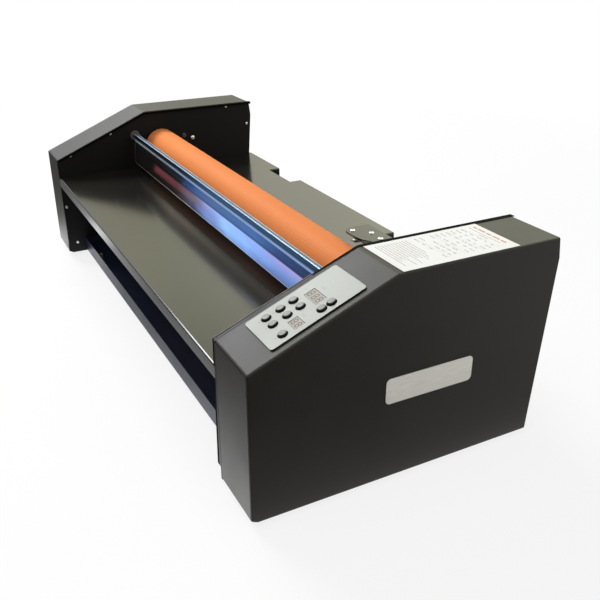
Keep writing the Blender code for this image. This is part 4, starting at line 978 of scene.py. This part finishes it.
def panelMarks(look):
    size = look["size"]
    shapes = []
    for keys, shift in ((look["keys"], look["below"]), (look["speedKeys"], look["beside"])):
        for u, s, kind in keys:
            spot = panelSpot(u, s) + Vector((*shift, 0))
            if kind in look["polygons"]:
                shapes.append(polygonShape(spot, size, *look["polygons"][kind]))
            elif kind == "dot":
                shapes.append(polygonShape(spot, size * look["dot"], look["dotSteps"]))
            else:
                shapes += ringShapes(spot, size, size * look["ringWide"])
    for u, s, wide in look["lines"]:
        spot = panelSpot(u, s)
        for y in (spot.y, spot.y + look["lineStep"]):
            shapes.append(barShape(spot.x - wide / 2, spot.x + wide / 2, y, y + look["lineTall"], spot.z))
    flatShapes("panel_marks", shapes, slopeTurn, paleInk, "chassis")


panelMarks(marksLook)
print("panel printed")


# ruled chart on the white label, nothing to read; rows of dashes have a height and a longest dash, and
# places across the label are shares of its width
chartLook = {
    "edge": 0.0055, "lift": 0.000008, "seed": 14, "dash": (0.35, 1.0), "space": (0.5, 1.0),
    "titleFrom": 0.04, "titles": [(0.9, 0.005, 0.003, 0.016), (0.84, 0.0108, 0.0012, 0.007)],
    "rows": 10, "columns": (0.03, 0.27, 0.46, 0.64, 0.8, 0.97), "below": 0.02, "foot": 0.36,
    "blank": 0.16, "filled": (0.45, 0.85), "entry": (0.0015, 0.007), "entryDrop": 0.003,
    "ruleEvery": 3, "rule": (0.0006, 0.0009), "head": (0.38, 0.6), "headRule": (0.0045, 0.0058),
    "noteFrom": 0.03, "noteTo": (0.55, 0.95), "note": (0.001, 0.008), "noteGap": 0.008,
    "noteStep": 0.0042, "noteEnd": 0.004,
}


def labelChart(look):
    low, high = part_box("settings_label")
    z = high.z + look["lift"]
    chance = random.Random(look["seed"])
    left, width = low.x + look["edge"], high.x - low.x - 2 * look["edge"]
    bottom, top = low.y + look["edge"], high.y - look["edge"]
    flat = Matrix.Identity(4)

    def dashes(x0, x1, y, tall, longest):
        found = []
        x = x0
        while x < x1 - tall:
            long = min(chance.uniform(*look["dash"]) * longest, x1 - x)
            found.append(barShape(x, x + long, y, y + tall, z))
            x += long + tall * chance.uniform(*look["space"])
        return found

    title = []
    for end, down, tall, longest in look["titles"]:
        title += dashes(left + width * look["titleFrom"], left + width * end, top - down, tall, longest)
    flatShapes("label_title_bars", title, flat, redInk, "chassis")

    chart = []
    columns = [left + part * width for part in look["columns"]]
    chartTop, chartLow = top - look["below"], bottom + (top - bottom) * look["foot"]
    step = (chartTop - chartLow) / look["rows"]
    for row in range(look["rows"]):
        y = chartTop - row * step
        for first, last in zip(columns, columns[1:]):
            if chance.random() < look["blank"]:
                continue
            end = first + (last - first) * chance.uniform(*look["filled"])
            chart += dashes(first, end, y - look["entryDrop"], *look["entry"])
        if row % look["ruleEvery"] == 0:
            chart.append(barShape(columns[0], columns[-1], *[y + rise for rise in look["rule"]], z))
    chart.append(barShape(*[left + part * width for part in look["head"]],
                          *[chartTop + rise for rise in look["headRule"]], z))
    flatShapes("label_chart_bars", chart, flat, blueInk, "chassis")

    notes = []
    y = chartLow - look["noteGap"]
    while y > bottom + look["noteEnd"]:
        end = left + width * chance.uniform(*look["noteTo"])
        notes += dashes(left + width * look["noteFrom"], end, y, *look["note"])
        y -= look["noteStep"]
    flatShapes("label_note_bars", notes, flat, paleInk, "chassis")


labelChart(chartLook)
print("label printed")


# line and ring on the two halves of the power rocker
rockerLook = {"tall": 0.0034, "wide": 0.0007, "ring": 0.0019, "lift": 0.00004, "rearward": 0.6}


def rockerMarks(look):
    faces = [f for f in nodes["power_switch"].data.polygons if f.normal.y > look["rearward"]]
    faces = sorted(faces, key=lambda f: -f.area)[:2]
    half, tall = look["wide"] / 2, look["tall"] / 2
    marks = {"line": [barShape(-half, half, -tall, tall, 0)],
             "ring": ringShapes(Vector((0, 0, 0)), look["ring"], look["wide"])}
    for kind, face in zip(("line", "ring"), sorted(faces, key=lambda f: -f.center.z)):
        up = (Vector(upwards) - face.normal * face.normal.z).normalized()
        turn = Matrix((up.cross(face.normal), up, face.normal)).transposed().to_4x4()
        turn = Matrix.Translation(face.center + face.normal * look["lift"]) @ turn
        flatShapes("rocker_" + kind, marks[kind], turn, whiteInk, "power_rocker")


rockerMarks(rockerLook)
print("rocker marked")


# white floor with its shadow, pure white further out; in mirrored rays it glows as a painted reflection,
# brightest beside the machine and with painted shade in front of it
floorLook = {
    "half": 40.0, "cuts": 8, "colour": (0.86, 0.86, 0.86), "near": 0.82, "whiteSpan": (0.9, 2.0),
    "foot": (0.5, 0.21), "mirrorReach": 0.4, "mirrorScale": 1 / 4, "mirrorGain": 16.0,
    "mirror": [(0.0, 2.9), (0.07, 2.45), (0.17, 1.75), (0.26, 0.95), (0.36, 0.42), (0.45, 0.22),
               (0.66, 0.14), (1.0, 0.08)],
    "gainSpan": (-1.0, 0.45),
    "gain": [(0.0, 3.0), (0.14, 3.3), (0.22, 3.4), (0.32, 1.6), (0.41, 0.6), (0.6, 0.36), (0.8, 0.5),
             (0.9, 0.75), (1.0, 1.0)],
    "rightNear": (0.74, 0.72, -0.15, 0.35), "rightFar": (0.0, 0.95, 0.0, 0.42),
    "rightSpan": (0.56, 0.68), "besideSpan": (0.47, 0.53),
}


def floorMirror(tree, look):
    place, scale = axes(tree), look["mirrorScale"]
    squares = []
    for axis, half in zip("XY", look["foot"]):
        beyond = mathNode(tree, "SUBTRACT", mathNode(tree, "ABSOLUTE", place[axis]), half)
        squares.append(mathNode(tree, "POWER", mathNode(tree, "MAXIMUM", beyond, 0.0), 2.0))
    away = mathNode(tree, "SQRT", mathNode(tree, "ADD", *squares))
    level = colourRamp(tree, share(tree, away, 0, look["mirrorReach"]), look["mirror"], scale)
    gain = colourRamp(tree, share(tree, place["X"], *look["gainSpan"]), look["gain"], scale)
    level = mathNode(tree, "MULTIPLY", level, gain)
    near, far = [spreadTo(tree, place["Y"], *look[side]) for side in ("rightNear", "rightFar")]
    beside = mixColours(tree, share(tree, place["X"], *look["rightSpan"]), near, far)
    beside = times(tree, beside, (scale * scale,) * 3)
    level = mixColours(tree, share(tree, place["X"], *look["besideSpan"]), level, beside)
    return glowing(tree, level, look["mirrorGain"])


def whiteFloor(look):
    bm = bmesh.new()
    bmesh.ops.create_grid(bm, x_segments=look["cuts"], y_segments=look["cuts"], size=look["half"])
    mesh = meshOf(bm, "floor")
    floor = addObject("floor", mesh)
    material = bpy.data.materials.new("floorPaper")
    tree = emptyTree(material)
    matt = addNode(tree, "ShaderNodeBsdfDiffuse", {"Color": look["colour"]}).outputs[0]
    reach = addNode(tree, "ShaderNodeVectorMath", {0: objectPlace(tree)},
                    operation="LENGTH").outputs["Value"]
    part = spreadTo(tree, reach, look["near"], 1.0, *look["whiteSpan"])
    seen, mirrored = rayKinds(tree)
    paper = mixShaders(tree, mathNode(tree, "MULTIPLY", part, seen), matt, glowing(tree, (1, 1, 1), 1.0))
    surface = mixShaders(tree, mirrored, paper, floorMirror(tree, look))
    addNode(tree, "ShaderNodeOutputMaterial", {"Surface": surface})
    mesh.materials.append(material)


whiteFloor(floorLook)


# soft light: pale surround, in mirrored rays brighter with height and towards the back, and large panels
lightLook = {
    "surround": 0.37, "skyScale": 1 / 2, "skyGain": 4.0,
    "heights": [(0.0, 0.4), (0.19, 0.62), (0.25, 0.8), (0.31, 1.05), (0.36, 1.3), (0.39, 1.6), (0.65, 1.8),
                (1.0, 1.6)],
    "sweepSpan": (-0.2, 0.7),
    "sweep": [(0.11, (0.94, 0.99, 1.0)), (0.3, (0.98, 0.98, 0.94)), (0.48, (0.98, 0.97, 0.7)),
              (0.55, (1.02, 1.02, 0.78)), (0.66, (1.42, 1.4, 1.13)), (0.77, (1.52, 1.51, 1.2)),
              (0.89, (1.95, 1.94, 1.55))],
    "panels": {
        "left": {"place": (-2.35, -0.52, 2.35), "size": (1.9, 1), "watts": 108, "colour": (0.97, 0.99, 1)},
        "above": {"place": (0.6, -1.4, 2.4), "size": (2.2, 1.6), "watts": 21, "colour": (1, 0.99, 0.97)},
        "right": {"place": (3.2, 0.5, 1.2), "size": (2.4, 2), "watts": 30, "colour": (1, 0.98, 0.95)},
    },
    "aim": (0, 0, 0.15),
    "unmirrored": ["above", "right"],
}


def mirroredSky(tree, look):
    # strength by height of the direction, tint and strength by how far it points to the back
    place = addNode(tree, "ShaderNodeTexCoord", {}).outputs["Generated"]
    way = addNode(tree, "ShaderNodeSeparateXYZ", {"Vector": place}).outputs
    level = colourRamp(tree, way["Z"], look["heights"], look["skyScale"])
    tint = colourRamp(tree, share(tree, way["Y"], *look["sweepSpan"]), look["sweep"], look["skyScale"])
    return glowing(tree, times(tree, level, tint), look["skyGain"], "ShaderNodeBackground")


def addPanel(name, panel, look):
    data = bpy.data.lights.new(name, "AREA")
    data.shape = "RECTANGLE"
    data.size, data.size_y = panel["size"]
    data.energy = panel["watts"]
    data.color = panel["colour"]
    lamp = addObject(name, data)
    lamp.location = panel["place"]
    aim = Vector(look["aim"]) - Vector(panel["place"])
    lamp.rotation_euler = aim.to_track_quat("-Z", "Y").to_euler()
    lamp.visible_camera = False
    lamp.visible_glossy = name not in look["unmirrored"]


def setLight(look):
    scene.world = bpy.data.worlds.new("surround")
    tree = emptyTree(scene.world)
    soft, plain = [addNode(tree, "ShaderNodeBackground", {"Strength": s}).outputs[0]
                   for s in (look["surround"], 1.0)]
    seen, mirrored = rayKinds(tree)
    around = mixShaders(tree, mirrored, soft, mirroredSky(tree, look))
    addNode(tree, "ShaderNodeOutputWorld", {"Surface": mixShaders(tree, seen, around, plain)})
    for name, panel in look["panels"].items():
        addPanel(name, panel, look)


setLight(lightLook)
scene.view_settings.view_transform = "Standard"
print("floor and light set")
